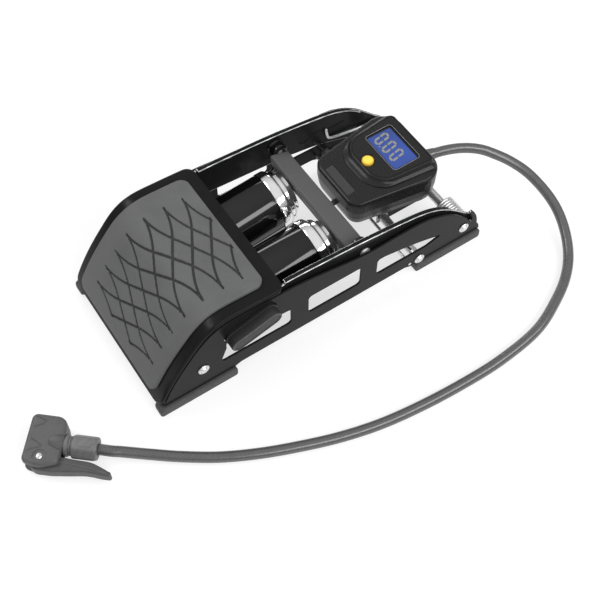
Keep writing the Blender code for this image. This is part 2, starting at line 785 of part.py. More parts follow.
def bezel_loop(z, inset=0.0):
    """The raised display housing, round towards the pedal and square at the rear."""
    front = 242.0 + inset
    rear = 309.0 - min(inset, 1.5)
    narrow = 29.5 - inset
    wide = 37 - inset
    corners = [(front, -narrow, 25), (rear, -wide, 7), (rear, wide, 7), (front, narrow, 25)]
    corners = [(x, y, max(radius - inset, 1.5)) for x, y, radius in corners]
    return [(x, y, z) for x, y in rounded(corners, 5)]


def make_gauge(parent):
    lower = [
        gauge_loop(GAUGE_BOTTOM, 9.0),
        gauge_loop(GAUGE_BOTTOM + 1.2, 6.0),
        gauge_loop(GAUGE_BOTTOM + 5.0, 3.0),
        gauge_loop(GAUGE_BOTTOM + 12.0, 1.2),
        gauge_loop(GAUGE_SPLIT - 9.0, 0.0),
        gauge_loop(GAUGE_SPLIT, 0.0),
        gauge_loop(GAUGE_SPLIT, 2.2),
        gauge_loop(GAUGE_BOTTOM + 12.0, 3.6),
        gauge_loop(GAUGE_BOTTOM + 5.5, 6.0),
        gauge_loop(GAUGE_BOTTOM + 2.4, 11.0),
    ]
    shell = place("gauge_lower_shell", lofted("gauge_lower_shell", lower), dark_plastic, parent)
    port = turned("hose_port", [(0, -8), (5.4, -8), (5.4, 8), (0, 8)], 24, "X")
    cut(shell, port, parent, EXIT, (0.0, 0.0, EXIT_TURN))
    inlet = turned("air_port", [(0, -8), (3.4, -8), (3.4, 8), (0, 8)], 16, "X")
    cut(shell, inlet, parent, (GAUGE_FRONT, 0.0, 47.0))
    door = turned("cell_door_hole", [(0, -6), (12.3, -6), (12.3, 6), (0, 6)], 24, "Z")
    cut(shell, door, parent, (*CELL, GAUGE_BOTTOM))

    split = GAUGE_SPLIT + GAP
    upper = [
        gauge_loop(GAUGE_TOP - 2.2, 5.5),
        gauge_loop(split, 2.2),
        gauge_loop(split, 0.0),
        gauge_loop(GAUGE_TOP - 2.6, 0.0),
        gauge_loop(GAUGE_TOP - 0.8, 1.4),
        gauge_loop(GAUGE_TOP, 4.0),
    ]
    cover = place("gauge_upper_shell", lofted("gauge_upper_shell", upper), dark_plastic, parent)
    opening = block("display_opening", (249.0, 300.0), (-24.0, 24.0), (GAUGE_TOP - 5.0, GAUGE_TOP + 3.0))
    cut(cover, opening, parent)

    rise = GAUGE_TOP + GAP
    raised = [bezel_loop(rise), bezel_loop(rise + 1.4, 0.6)]
    raised += [bezel_loop(BEZEL_TOP - 0.6, 5.2), bezel_loop(BEZEL_TOP, 6.2)]
    bezel = place("gauge_bezel", lofted("gauge_bezel", raised), dark_plastic, parent)
    glass_x = (LCD_X[0] - GAP, LCD_X[1] + GAP)
    glass_y = (-LCD_HALF - GAP, LCD_HALF + GAP)
    cut(bezel, block("window_opening", glass_x, glass_y, (rise - 2.0, BEZEL_TOP + 3.0)), parent)
    hole = turned("button_opening", [(0, -8), (5.8, -8), (5.8, 8), (0, 8)], 24, "Z")
    cut(bezel, hole, parent, (*BUTTON, BEZEL_TOP))

    lcd = block("lcd_panel", LCD_X, (-LCD_HALF, LCD_HALF), (GAUGE_TOP - 2.4, BEZEL_TOP - 1.8))
    place("lcd_panel", lcd, lambda name: material(name, (0.02, 0.06, 0.42), 0.3), parent)
    window = block("lcd_window", LCD_X, (-LCD_HALF, LCD_HALF), (BEZEL_TOP - 1.5, BEZEL_TOP - 0.3))
    place("lcd_window", window, lambda name: material(name, (0.6, 0.7, 0.9), 0.05, alpha=0.35), parent)
    board = block("circuit_board", (240.0, 303.0), (-25.0, 25.0), (66.0, 67.6))
    place("circuit_board", board, lambda name: material(name, (0.02, 0.16, 0.06), 0.5), parent)
    sensor = block("pressure_sensor", (284.0, 297.0), (-7.0, 7.0), (58.0, 65.7))
    place("pressure_sensor", sensor, dark_plastic, parent)
    cell = turned("coin_cell", [(0, 0), (10.0, 0), (10.0, 3.2), (0, 3.2)], 24, "Z")
    place("coin_cell", cell, steel, parent, (*CELL, GAUGE_BOTTOM + 3.0))
    lid = turned("cell_door", [(0, 0), (12.0, 0), (12.0, 2.0), (0, 2.0)], 24, "Z")
    place("cell_door", lid, dark_plastic, parent, (*CELL, GAUGE_BOTTOM + 0.4))


def gauge_bracket(parent):
    """A channel under the gauge, held on the cross rod and the main axle."""
    top = GAUGE_BOTTOM - GAP
    web = 1.6
    out = 20.0
    low = 11.5
    loop = [(-out, low), (-out, top), (out, top), (out, low), (out - web, low), (out - web, top - web)]
    loop += [(-out + web, top - web), (-out + web, low)]
    mesh = lofted("gauge_bracket", [[(x, y, z) for y, z in loop] for x in (259.0, 321.0)])
    bracket = place("gauge_bracket", mesh, painted, parent)
    hole = turned("bracket_hole", [(0, -30), (HOLE_R, -30), (HOLE_R, 30), (0, 30)], 20)
    for axle in (CROSS_ROD, MAIN_AXLE):
        cut(bracket, hole, parent, (axle[0], 0.0, axle[1]))


def make_button(parent):
    profile = [(0, -9.0), (5.4, -9.0), (5.4, 0.2), (4.6, 0.8), (2.4, 1.1), (0, 1.2)]
    mesh = turned("gauge_button", profile, 28, "Z")
    place("gauge_button", mesh, lambda name: material(name, (0.9, 0.75, 0.12), 0.4), parent)


# The air line from the cylinders' manifold, and the hose with its chuck.

AIR_LINE_R = 3.0
MANIFOLD_REAR = 52.5
AIR_ROUTE = [
    (MANIFOLD_REAR + GAP, 0, 27),
    (58, 0, 27),
    (67, 0, 22),
    (77, 0, 14.5),
    (92, 0, 10.8),
    (110, 0, 10.5),
    (190, 0, 10.8),
    (202, 0, 16),
    (211, 0, 28),
    (214.5, 0, 40),
    (218.5, 0, 46.4),
    (226, 0, 47),
    (236, 0, 47),
]


def make_air_line(parent):
    outline = rounded([(33, 22, 4), (MANIFOLD_REAR, 22, 2), (MANIFOLD_REAR, 46, 3), (33, 46, 4)], 2)
    mesh = extruded("air_manifold", outline, -9.0, 9.0, holes=[circle(FRONT_AXLE, HOLE_R, 16)])
    place("air_manifold", mesh, dark_plastic, parent)
    wire("air_line", smooth(AIR_ROUTE, 9.0), AIR_LINE_R, dark_plastic, parent, 1)


def gland_end():
    turn = math.radians(EXIT_TURN)
    reach = GLAND_LENGTH + 2 * GAP
    return (EXIT[0] + reach * math.cos(turn), EXIT[1] + reach * math.sin(turn), EXIT[2])


def chuck_point(x, y):
    """A place in the pump's frame from one in the chuck's."""
    turn = math.radians(CHUCK_TURN)
    return (
        CHUCK[0] + x * math.cos(turn) - y * math.sin(turn),
        CHUCK[1] + x * math.sin(turn) + y * math.cos(turn),
    )


def make_hose(parent):
    profile = [(0, -6.0), (4.8, -6.0), (4.8, 2.2), (7.6, 2.2), (7.6, 4.0)]
    profile += [(5.8, GLAND_LENGTH), (0, GLAND_LENGTH)]
    gland = turned("hose_gland", profile, 24, "X")
    place("hose_gland", gland, grey_rubber, parent, EXIT, (0.0, 0.0, EXIT_TURN))
    ends = [(*chuck_point(0.0, NUT_END - 12.0), 10.6), (*chuck_point(0.0, NUT_END - GAP), CHUCK_HEIGHT / 2)]
    route = [gland_end(), *HOSE_ROUTE, *ends]
    wire("hose", smooth(route, 4.1 * HOSE_R), HOSE_R, dark_plastic, parent)


def make_chuck(parent, lever_parent):
    corners = [(-19.5, -15, 4), (20.4, -15, 9), (20.8, 15, 5), (-21, 15, 5), (-24.5, 0, 16)]
    mesh = extruded("chuck_body", rounded(corners, 5), 0.0, CHUCK_HEIGHT, along="Z", edge=1.6)
    body = place("chuck_body", mesh, dark_plastic, parent)
    cut(body, block("lever_space", (-40.0, -4.5), (-30.0, 30.0), (5.2, 16.6)), parent)
    socket = turned("socket", [(0, 7.5), (6.8, 7.5), (6.8, 30.0), (0, 30.0)], 24, "X")
    cut(body, socket, parent, (0.0, 0.0, CHUCK_HEIGHT / 2))
    pin_hole = turned("pin_hole", [(0, -40), (2.5, -40), (2.5, 40), (0, 40)], 12, "Z")
    cut(body, pin_hole, parent, (*CHUCK_PIN, 0.0))

    seal = turned("chuck_seal", [(3.2, 8.0), (6.5, 8.0), (6.5, 19.6), (3.8, 19.6), (3.2, 19.0)], 24, "X")
    place("chuck_seal", seal, grey_rubber, parent, (0.0, 0.0, CHUCK_HEIGHT / 2))

    start = -15.3
    nut = [(0, NUT_END), (NUT_R - 1.6, NUT_END), (NUT_R, NUT_END + 1.6)]
    nut += [(NUT_R, -21.5), (NUT_R - 0.8, -20.5), (7.6, -20.2), (7.6, -18.6), (NUT_R - 1.2, -18.0), (NUT_R - 1.2, start), (0, start)]
    place("chuck_nut", turned("chuck_nut", nut, 16), dark_plastic, parent, (0.0, 0.0, CHUCK_HEIGHT / 2))

    pin = [(0, 0.6), (2.2, 0.6), (2.2, 22.3), (4.2, 22.3), (4.0, 23.2), (2.4, 23.9), (0, 23.9)]
    place("chuck_pin", turned("chuck_pin", pin, 16, "Z"), steel, parent, (*CHUCK_PIN, 0.0))

    inner = smooth([(7.5, -8.5), (4.6, -14), (3.2, -26), (2.4, -40), (-1.4, -52), (-4.6, -59)], 6.0)
    outer = smooth([(-7.2, -59), (-7.4, -50), (-6.4, -38), (-8, -24), (-9.6, -10)], 6.0)
    hub = arc((0.0, 0.0), 9.6, 180.0, 0.0, 9)
    hole = circle((0.0, 0.0), 2.5, 12)
    lever = extruded("chuck_lever", hub + inner + outer, 5.5, 16.3, holes=[hole], along="Z", edge=1.2)
    place("chuck_lever", lever, dark_plastic, lever_parent)


def empty(name, parent, at, turn=(0.0, 0.0, 0.0)):
    made = place(name, None, None, parent, at, turn)
    made.empty_display_size = 0.02
    return made


def main():
    clear_scene()
    frame = empty("pump_frame", None, (-LENGTH / 2, KNOB_OUT / 2, 0.0))
    make_base(frame)
    gauge_bracket(frame)
    make_gauge(frame)
    make_air_line(frame)
    make_hose(frame)
    on_hinge = empty("arm_pivot", frame, (MAIN_AXLE[0], 0.0, MAIN_AXLE[1]))
    arm = empty("arm_frame", on_hinge, (-MAIN_AXLE[0], 0.0, -MAIN_AXLE[1]))
    make_arm(arm)
    make_springs(arm)
    rise = math.degrees(math.atan2(ROD_PIN[1] - FRONT_AXLE[1], ROD_PIN[0] - FRONT_AXLE[0]))
    cylinders = empty("barrel_tilt", frame, (FRONT_AXLE[0], 0.0, FRONT_AXLE[1]), (0.0, -rise, 0.0))
    make_cylinders(cylinders)
    make_pistons(empty("rod_slide", cylinders, (0.0, 0.0, 0.0)))
    make_latch_carrier(frame)
    make_latch(empty("latch_pivot", frame, (LATCH_PIVOT[0], 0.0, LATCH_PIVOT[1])))
    make_button(empty("button_press", frame, (*BUTTON, BEZEL_TOP)))
    chuck = empty("chuck_frame", frame, (*CHUCK, 0.0), (0.0, 0.0, CHUCK_TURN))
    make_chuck(chuck, empty("chuck_lever_pivot", chuck, (*CHUCK_PIN, 0.0)))


main()
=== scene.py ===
"""The looks of a folding twin-barrel foot pump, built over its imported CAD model.

Sizes are in millimetres in the pump's own frame: X from the front feet to the rear hinge, Y across
it with 0 on its middle plane, Z up. spot() turns such a place into the row frame, in metres.
"""

import bisect
import math
from typing import NamedTuple

import bmesh
import bpy
from mathutils import Matrix, Vector


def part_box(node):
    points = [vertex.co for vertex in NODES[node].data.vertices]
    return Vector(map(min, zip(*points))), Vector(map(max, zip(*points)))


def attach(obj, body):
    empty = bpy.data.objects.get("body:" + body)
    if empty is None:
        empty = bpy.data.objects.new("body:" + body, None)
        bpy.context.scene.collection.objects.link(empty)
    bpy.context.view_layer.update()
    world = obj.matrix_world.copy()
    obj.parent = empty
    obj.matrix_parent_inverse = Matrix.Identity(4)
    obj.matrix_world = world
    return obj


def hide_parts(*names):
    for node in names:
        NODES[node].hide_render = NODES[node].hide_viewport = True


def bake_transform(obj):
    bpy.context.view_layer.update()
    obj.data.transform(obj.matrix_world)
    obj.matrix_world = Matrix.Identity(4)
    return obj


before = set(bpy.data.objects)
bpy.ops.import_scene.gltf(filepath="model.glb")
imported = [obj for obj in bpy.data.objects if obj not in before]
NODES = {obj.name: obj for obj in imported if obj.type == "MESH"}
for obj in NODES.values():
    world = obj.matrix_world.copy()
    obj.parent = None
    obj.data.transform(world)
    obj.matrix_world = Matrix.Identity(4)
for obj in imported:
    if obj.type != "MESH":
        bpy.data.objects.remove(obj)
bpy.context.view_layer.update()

MM = 0.001
NEAR_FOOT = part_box("foot_front_near")
FAR_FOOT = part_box("foot_rear_far")
ORIGIN = Vector((NEAR_FOOT[0].x, (NEAR_FOOT[0].y + FAR_FOOT[1].y) / 2, 0.0))
SIDES = ((-1, "near"), (1, "far"))


def spot(point):
    """A place in the row frame, in metres, from one in the pump's own frame in millimetres."""
    return ORIGIN + Vector(point) * MM


# Driving sizes, the same as the CAD model's.

LENGTH = 335.0
HALF_WIDTH = 77.0
PLATE_OUT = 74.5
FOOT_TOP = 11.0
FOOT_WIDTH = 11.0
SHARP = 38.0

FRONT_AXLE = (44.5, 36.3)
MAIN_AXLE = (314.0, 26.7)
CROSS_ROD = (265.6, 16.9)
CROSSBAR_BOLT = (206.0, 69.0)
ROD_PIN = (199.0, 49.5)
AXLE_R = 4.5
HEAD_R = 5.2
COLLAR_Y = (58.3, 67.7)

BARREL_Y = 31.2
BARREL_AXIS = (Vector(ROD_PIN) - Vector(FRONT_AXLE)).normalized()
BARREL_PROFILE = [
    (25.6, 17.0),
    (26.9, 17.0),
    (27.2, 17.4),
    (27.2, 130.4),
    (26.8, 131.0),
    (25.6, 131.0),
]
CAP_PROFILE = [
    (5.4, 126.0),
    (25.2, 126.0),
    (25.2, 131.3),
    (27.3, 131.3),
    (27.65, 131.8),
    (27.7, 134.0),
    (27.65, 137.0),
    (27.5, 139.2),
    (26.9, 140.3),
    (25.6, 140.8),
    (24.7, 141.3),
    (24.3, 142.4),
    (24.2, 144.2),
    (23.7, 145.8),
    (22.6, 146.8),
    (21.2, 147.3),
    (20.0, 147.2),
    (19.6, 147.6),
    (19.6, 150.4),
    (19.2, 151.1),
    (18.4, 151.4),
    (14.6, 151.4),
    (14.0, 150.6),
    (13.4, 149.6),
    (9.6, 149.4),
    (9.0, 150.6),
    (8.2, 150.9),
    (5.4, 150.9),
]

# The flat sheet parts whose edges are softened, and the width, steps and least angle of an edge.
SOFTENED = ("side_plate", "arm_plate", "crossbar_lug", "gauge_bracket")
EDGE_WIDTH = 0.6
EDGE_STEPS = 3
EDGE_ANGLE = 50.0
EDGE_WELD = 0.01

PEDAL_CURVE = [
    (1.5, 14),
    (7.1, 26.4),
    (15.2, 40.5),
    (24, 53.4),
    (34.5, 66.7),
    (44.6, 78.2),
    (53, 84.9),
    (62, 88.9),
    (73, 90.6),
    (91, 90.2),
    (109.5, 89.4),
    (124.5, 88.4),
]
CURVE_STEP = 0.5
CURVE_REACH = 6
PEDAL_HALF = 75.0
PEDAL_RISE = 1.0
PEDAL_SHEET = 1.6
PEDAL_LIP = 1.8
PEDAL_EDGE = 2.4
PEDAL_CORNER = 8.0
PEDAL_STEP = 1.6
PAD_HALF = 64.0
PAD_FROM = 7.5
PAD_TO = 11.5
PAD_CORNER = 9.0
PAD_TOP = 4.1
PAD_EDGE = 1.3
PAD_STEP = 0.55
PAD_GAP = 0.3
GROOVE_FIRST = 29.5
GROOVE_STEP = 17.75
GROOVE_LAST = 6
GROOVE_HALF = 47.6
GROOVE_MIDDLE = -2.8
GROOVE_CORE = 16.1
GROOVE_WIDE = 1.3
GROOVE_NARROW = 0.85
GROOVE_DEPTH = 1.2
GROOVE_TAIL = 0.53
GROOVE_BEND = 1.8
GROOVE_SHADE_FROM = 1.6

LATCH_PIVOT = (107.3, 71.2)
LATCH_TIP = (74.7, 61.8)
LATCH_R = 8.0
LATCH_STUB = 3.0
STUB_IN = 71.2
KNOB_IN = 72.5
KNOB_OUT = 85.0

GAUGE_FRONT = 222.0
GAUGE_REAR = 313.0
GAUGE_HALF_FRONT = 31.0
GAUGE_HALF_REAR = 45.5
GAUGE_CORNERS = (13.0, 19.0)
GAUGE_SPLIT = 70.0
DECK_FALL = 2.2
DECK_FROM = 242.0
DECK_REACH = 18.0
LABEL_LEVEL = 73.9
LABEL_SLOPE = 0.24
LABEL_X = (225.4, 233.4)
LABEL_HALF = 17.5
BEZEL_LOW = 76.6
FACE_FROM = 251.0
FACE_FRONT = 82.0
FACE_SLOPE = 0.018
BUTTON = (258.4, 0.0)
BUTTON_TOP = 82.5
BUTTON_RIM = 4.4
LCD_X = (272.5, 297.0)
LCD_HALF = 20.6
DIGIT_LOW = 80.72
DIGIT_HIGH = 80.9
DIGIT_X = 276.6
DIGIT_TALL = 13.8
DIGIT_WIDE = 5.4
DIGIT_LEFTS = (15.4, 4.4, -6.4)
DIGIT_POINT = 7.6
DIGIT_BAR = 2.1
DIGIT_LEAN = 0.17
DIGIT_GAP = 0.25
POINT_HALF = 0.7
# A nought's six bars, as (x0, y0, x1, y1) on a grid of half its height and its width.
DIGIT_BARS = [(0, 0, 0, 1), (0, 1, 1, 1), (1, 1, 2, 1), (2, 1, 2, 0), (2, 0, 1, 0), (1, 0, 0, 0)]

COIL_R = 9.6
SPRING_WIRE = 1.3
COIL_FROM = 45.2
COIL_TO = 66.0
COIL_PITCH = 2.65
COIL_TURNS = 7
COIL_STEP = 12.0

HOSE_R = 4.7
HOSE_LENGTH = 0.672
HOSE_SLACK = 0.05
HOSE_STEP = 0.004
EXIT = (313.0, -6.0, 55.0)
EXIT_TURN = -11.5
GLAND_LENGTH = 10.0
CHUCK = (-89.35, -50.5)
CHUCK_TURN = 49.2
CHUCK_HEIGHT = 22.0
CHUCK_PIN = (-16.0, 0.7)
CHUCK_GROOVES = [
    [(18.2, 13.6), (13.8, 2.5), (7.7, 11.6)],
    [(-1.8, 10.7), (-7.2, 1.6), (-11.2, 9.0), (-15.3, 14.4)],
]
NUT_R = 10.4
NUT_END = -42.0
NUT_FLAT = 9.3
NUT_SIDES = 72
HOSE_ROUTE = [
    (0.1650, -0.0062, 0.0550),
    (0.1750, -0.0090, 0.0545),
    (0.1845, -0.0120, 0.0530),
    (0.1935, -0.0158, 0.0510),
    (0.2015, -0.0208, 0.0490),
    (0.2090, -0.0270, 0.0460),
    (0.2215, -0.0415, 0.0400),
    (0.2310, -0.0605, 0.0330),
    (0.2350, -0.0870, 0.0240),
    (0.2315, -0.1100, 0.0160),
    (0.2200, -0.1335, 0.0085),
    (0.2025, -0.1516, 0.0055),
    (0.1780, -0.1666, 0.0050),
    (0.1435, -0.1808, 0.0050),
    (0.0980, -0.1866, 0.0050),
    (0.0550, -0.1864, 0.0050),
    (0.0150, -0.1836, 0.0050),
    (-0.0220, -0.1784, 0.0050),
    (-0.0560, -0.1698, 0.0050),
    (-0.0875, -0.1586, 0.0050),
    (-0.1175, -0.1460, 0.0050),
    (-0.1465, -0.1308, 0.0050),
    (-0.1730, -0.1130, 0.0055),
    (-0.1935, -0.0976, 0.0068),
    (-0.2120, -0.0840, 0.0094),
]

# The camera, the light and the floor.

CAMERA_AT = (-118.2, -454.8, 792.6)
CAMERA_PITCH = 32.3
CAMERA_HEADING = -33.5
CAMERA_LENS = 64.43
CAMERA_SENSOR = 36.0
CAMERA_NEAREST = 0.01

WORLD_FROM = -0.1
WORLD_TO = 0.9
WORLD_LOW = 0.05
WORLD_HIGH = 0.78
FLOOR_HALF = 12.0
FLOOR_GAP = 0.0002
FLOOR_SHADE = 0.4
FLOOR_ROUGH = 0.9
FLOOR_SHINE = 0.1
FLOOR_GLOW = 0.66
LIGHT_AIM = (0.0, 0.0, 0.05)
# Each light: name, place, width, height and power.
LIGHTS = [
    ("key_front", (0.3, -1.05, 1.05), 1.9, 0.38, 15.0),
    ("strip_back", (0.35, 1.5, 0.55), 1.4, 0.2, 4.0),
    ("crown_left", (-0.62, 0.68, 1.1), 0.7, 0.3, 5.0),
]


def add_to_scene(name, data):
    """A new object of this data in the scene."""
    thing = bpy.data.objects.new(name, data)
    bpy.context.scene.collection.objects.link(thing)
    return thing


def make_camera():
    data = bpy.data.cameras.new("camera")
    data.sensor_width = CAMERA_SENSOR
    data.lens = CAMERA_LENS
    data.clip_start = CAMERA_NEAREST
    camera = add_to_scene("camera", data)
    camera.location = spot(CAMERA_AT)
    camera.rotation_euler = (math.radians(CAMERA_PITCH), 0.0, math.radians(CAMERA_HEADING))
    bpy.context.scene.camera = camera


def area_light(name, at, width, height, power):
    data = bpy.data.lights.new(name, "AREA")
    data.shape = "RECTANGLE"
    data.size = width
    data.size_y = height
    data.energy = power
    light = add_to_scene(name, data)
    light.location = at
    light.rotation_euler = (Vector(LIGHT_AIM) - Vector(at)).to_track_quat("-Z", "Y").to_euler()


def make_world():
    """A dim room, lighter overhead than at the horizon."""
    world = bpy.data.worlds.new("studio")
    bpy.context.scene.world = world
    world.use_nodes = True
    nodes = world.node_tree.nodes
    links = world.node_tree.links
    direction = nodes.new("ShaderNodeTexCoord")
    parts = nodes.new("ShaderNodeSeparateXYZ")
    ramp = nodes.new("ShaderNodeMapRange")
    ramp.inputs["From Min"].default_value = WORLD_FROM
    ramp.inputs["From Max"].default_value = WORLD_TO
    ramp.inputs["To Min"].default_value = WORLD_LOW
    ramp.inputs["To Max"].default_value = WORLD_HIGH
    links.new(direction.outputs["Generated"], parts.inputs["Vector"])
    links.new(parts.outputs["Z"], ramp.inputs["Value"])
    nodes["Background"].inputs["Color"].default_value = (1.0, 1.0, 1.0, 1.0)
    links.new(ramp.outputs["Result"], nodes["Background"].inputs["Strength"])


def make_studio():
    bpy.context.scene.view_settings.view_transform = "Standard"
    make_world()
    for light in LIGHTS:
        area_light(*light)

    bm = bmesh.new()
    bmesh.ops.create_grid(bm, x_segments=1, y_segments=1, size=FLOOR_HALF)
    mesh = bpy.data.meshes.new("floor")
    bm.to_mesh(mesh)
    bm.free()
    floor = add_to_scene("floor", mesh)
    floor.location.z = -FLOOR_GAP
    pale = bpy.data.materials.new("floor")
    pale.use_nodes = True
    shader = pale.node_tree.nodes["Principled BSDF"]
    shader.inputs["Base Color"].default_value = (FLOOR_SHADE, FLOOR_SHADE, FLOOR_SHADE, 1.0)
    shader.inputs["Roughness"].default_value = FLOOR_ROUGH
    shader.inputs["Specular IOR Level"].default_value = FLOOR_SHINE
    shader.inputs["Emission Color"].default_value = (1.0, 1.0, 1.0, 1.0)
    shader.inputs["Emission Strength"].default_value = FLOOR_GLOW
    mesh.materials.append(pale)


# Materials. Every pattern is laid in the row frame, in metres.

PATTERN_LOW = 0.3
PATTERN_HIGH = 0.7


class Look:
    """A Principled material and short ways to drive its sockets from patterns."""

    def __init__(self, name, colour, roughness, metallic=0.0):
        self.material = bpy.data.materials.new(name)
        self.material.use_nodes = True
        self.tree = self.material.node_tree
        self.shader = self.tree.nodes["Principled BSDF"]
        self.colour = colour
        self.set("Base Color", (*colour, 1.0))
        self.set("Roughness", roughness)
        self.set("Metallic", metallic)
        self.height = None
        coordinates = self.tree.nodes.new("ShaderNodeTexCoord")
        self.place = coordinates.outputs["Object"]

    def set(self, socket, value):
        self.shader.inputs[socket].default_value = value

    def node(self, kind, inputs=None, **settings):
        made = self.tree.nodes.new(kind)
        for key, value in settings.items():
            setattr(made, key, value)
        for key, value in (inputs or {}).items():
            self.feed(made.inputs[key], value)
        return made

    def feed(self, socket, value):
        if isinstance(value, bpy.types.NodeSocket):
            self.tree.links.new(value, socket)
        else:
            socket.default_value = value

    def stretched(self, scale, turn=(0.0, 0.0, 0.0)):
        made = self.node("ShaderNodeMapping", {"Vector": self.place, "Scale": scale})
        made.inputs["Rotation"].default_value = [math.radians(angle) for angle in turn]
        return made.outputs["Vector"]

    def noise(self, scale, detail=3.0, rough=0.55, place=None):
        inputs = {"Vector": place or self.place, "Scale": scale, "Detail": detail, "Roughness": rough}
        return self.node("ShaderNodeTexNoise", inputs).outputs["Fac"]

    def cells(self, scale):
        inputs = {"Vector": self.place, "Scale": scale}
        return self.node("ShaderNodeTexVoronoi", inputs).outputs["Distance"]

    def mapped(self, value, low, high, start=0.0, end=1.0):
        """The value's range low to high, mapped to start to end and held there."""
        inputs = {"Value": value, "From Min": low, "From Max": high, "To Min": start, "To Max": end}
        return self.node("ShaderNodeMapRange", inputs).outputs["Result"]

    def product(self, first, second):
        made = self.node("ShaderNodeMath", operation="MULTIPLY")
        self.feed(made.inputs[0], first)
        self.feed(made.inputs[1], second)
        return made.outputs["Value"]

    def tint(self, fac, low, high):
        """Drives the colour between two shades of it."""
        made = self.node("ShaderNodeMix", data_type="RGBA")
        self.feed(made.inputs["Factor"], fac)
        for socket in made.inputs:
            if socket.name == "A" and socket.type == "RGBA":
                socket.default_value = (*(part * low for part in self.colour), 1.0)
            if socket.name == "B" and socket.type == "RGBA":
                socket.default_value = (*(part * high for part in self.colour), 1.0)
        result = [item for item in made.outputs if item.type == "RGBA"][0]
        self.feed(self.shader.inputs["Base Color"], result)
        return result

    def rough(self, fac, low, high):
        """Drives the roughness from low to high over the middle of a pattern's range."""
        value = self.mapped(fac, PATTERN_LOW, PATTERN_HIGH, low, high)
        self.feed(self.shader.inputs["Roughness"], value)

    def bump(self, height, distance, strength=1.0):
        """Adds relief: a height of 0 to 1 stands for a distance in metres."""
        inputs = {"Height": height, "Distance": distance, "Strength": strength}
        made = self.node("ShaderNodeBump", inputs)
        if self.height is not None:
            self.feed(made.inputs["Normal"], self.height)
        self.height = made.outputs["Normal"]
        self.feed(self.shader.inputs["Normal"], self.height)


LOOKS = {}
NYLON_SHADES = {"chuck_plastic": 0.08, "nut_plastic": 0.135, "lever_plastic": 0.058}
FLOW_TURN = 49.0


def look(name):
    """The material of this name, made once, by its own function or from its row of FINISHES."""
    if name not in LOOKS:
        LOOKS[name] = MAKERS.get(name, plain)(name).material
    return LOOKS[name]


# The plain looks: their tint, their roughness and each layer of relief follow one pattern each.


def noise(scale, detail=3.0, rough=0.55):
    """A cloudy pattern, made when its look is."""
    return lambda made: made.noise(scale, detail, rough)


def cells(scale):
    """A pattern of round grains, made when its look is."""
    return lambda made: made.cells(scale)


class Finish(NamedTuple):
    """A plain look. Its tint and its range of roughness are (pattern, low, high) each.

    Its relief is a list of (pattern, distance in metres, strength).
    """

    colour: tuple
    roughness: float
    tint: tuple
    rough: tuple
    relief: list = ()
    metallic: float = 0.0
    shine: float = 0.5
    alpha: float = 1.0


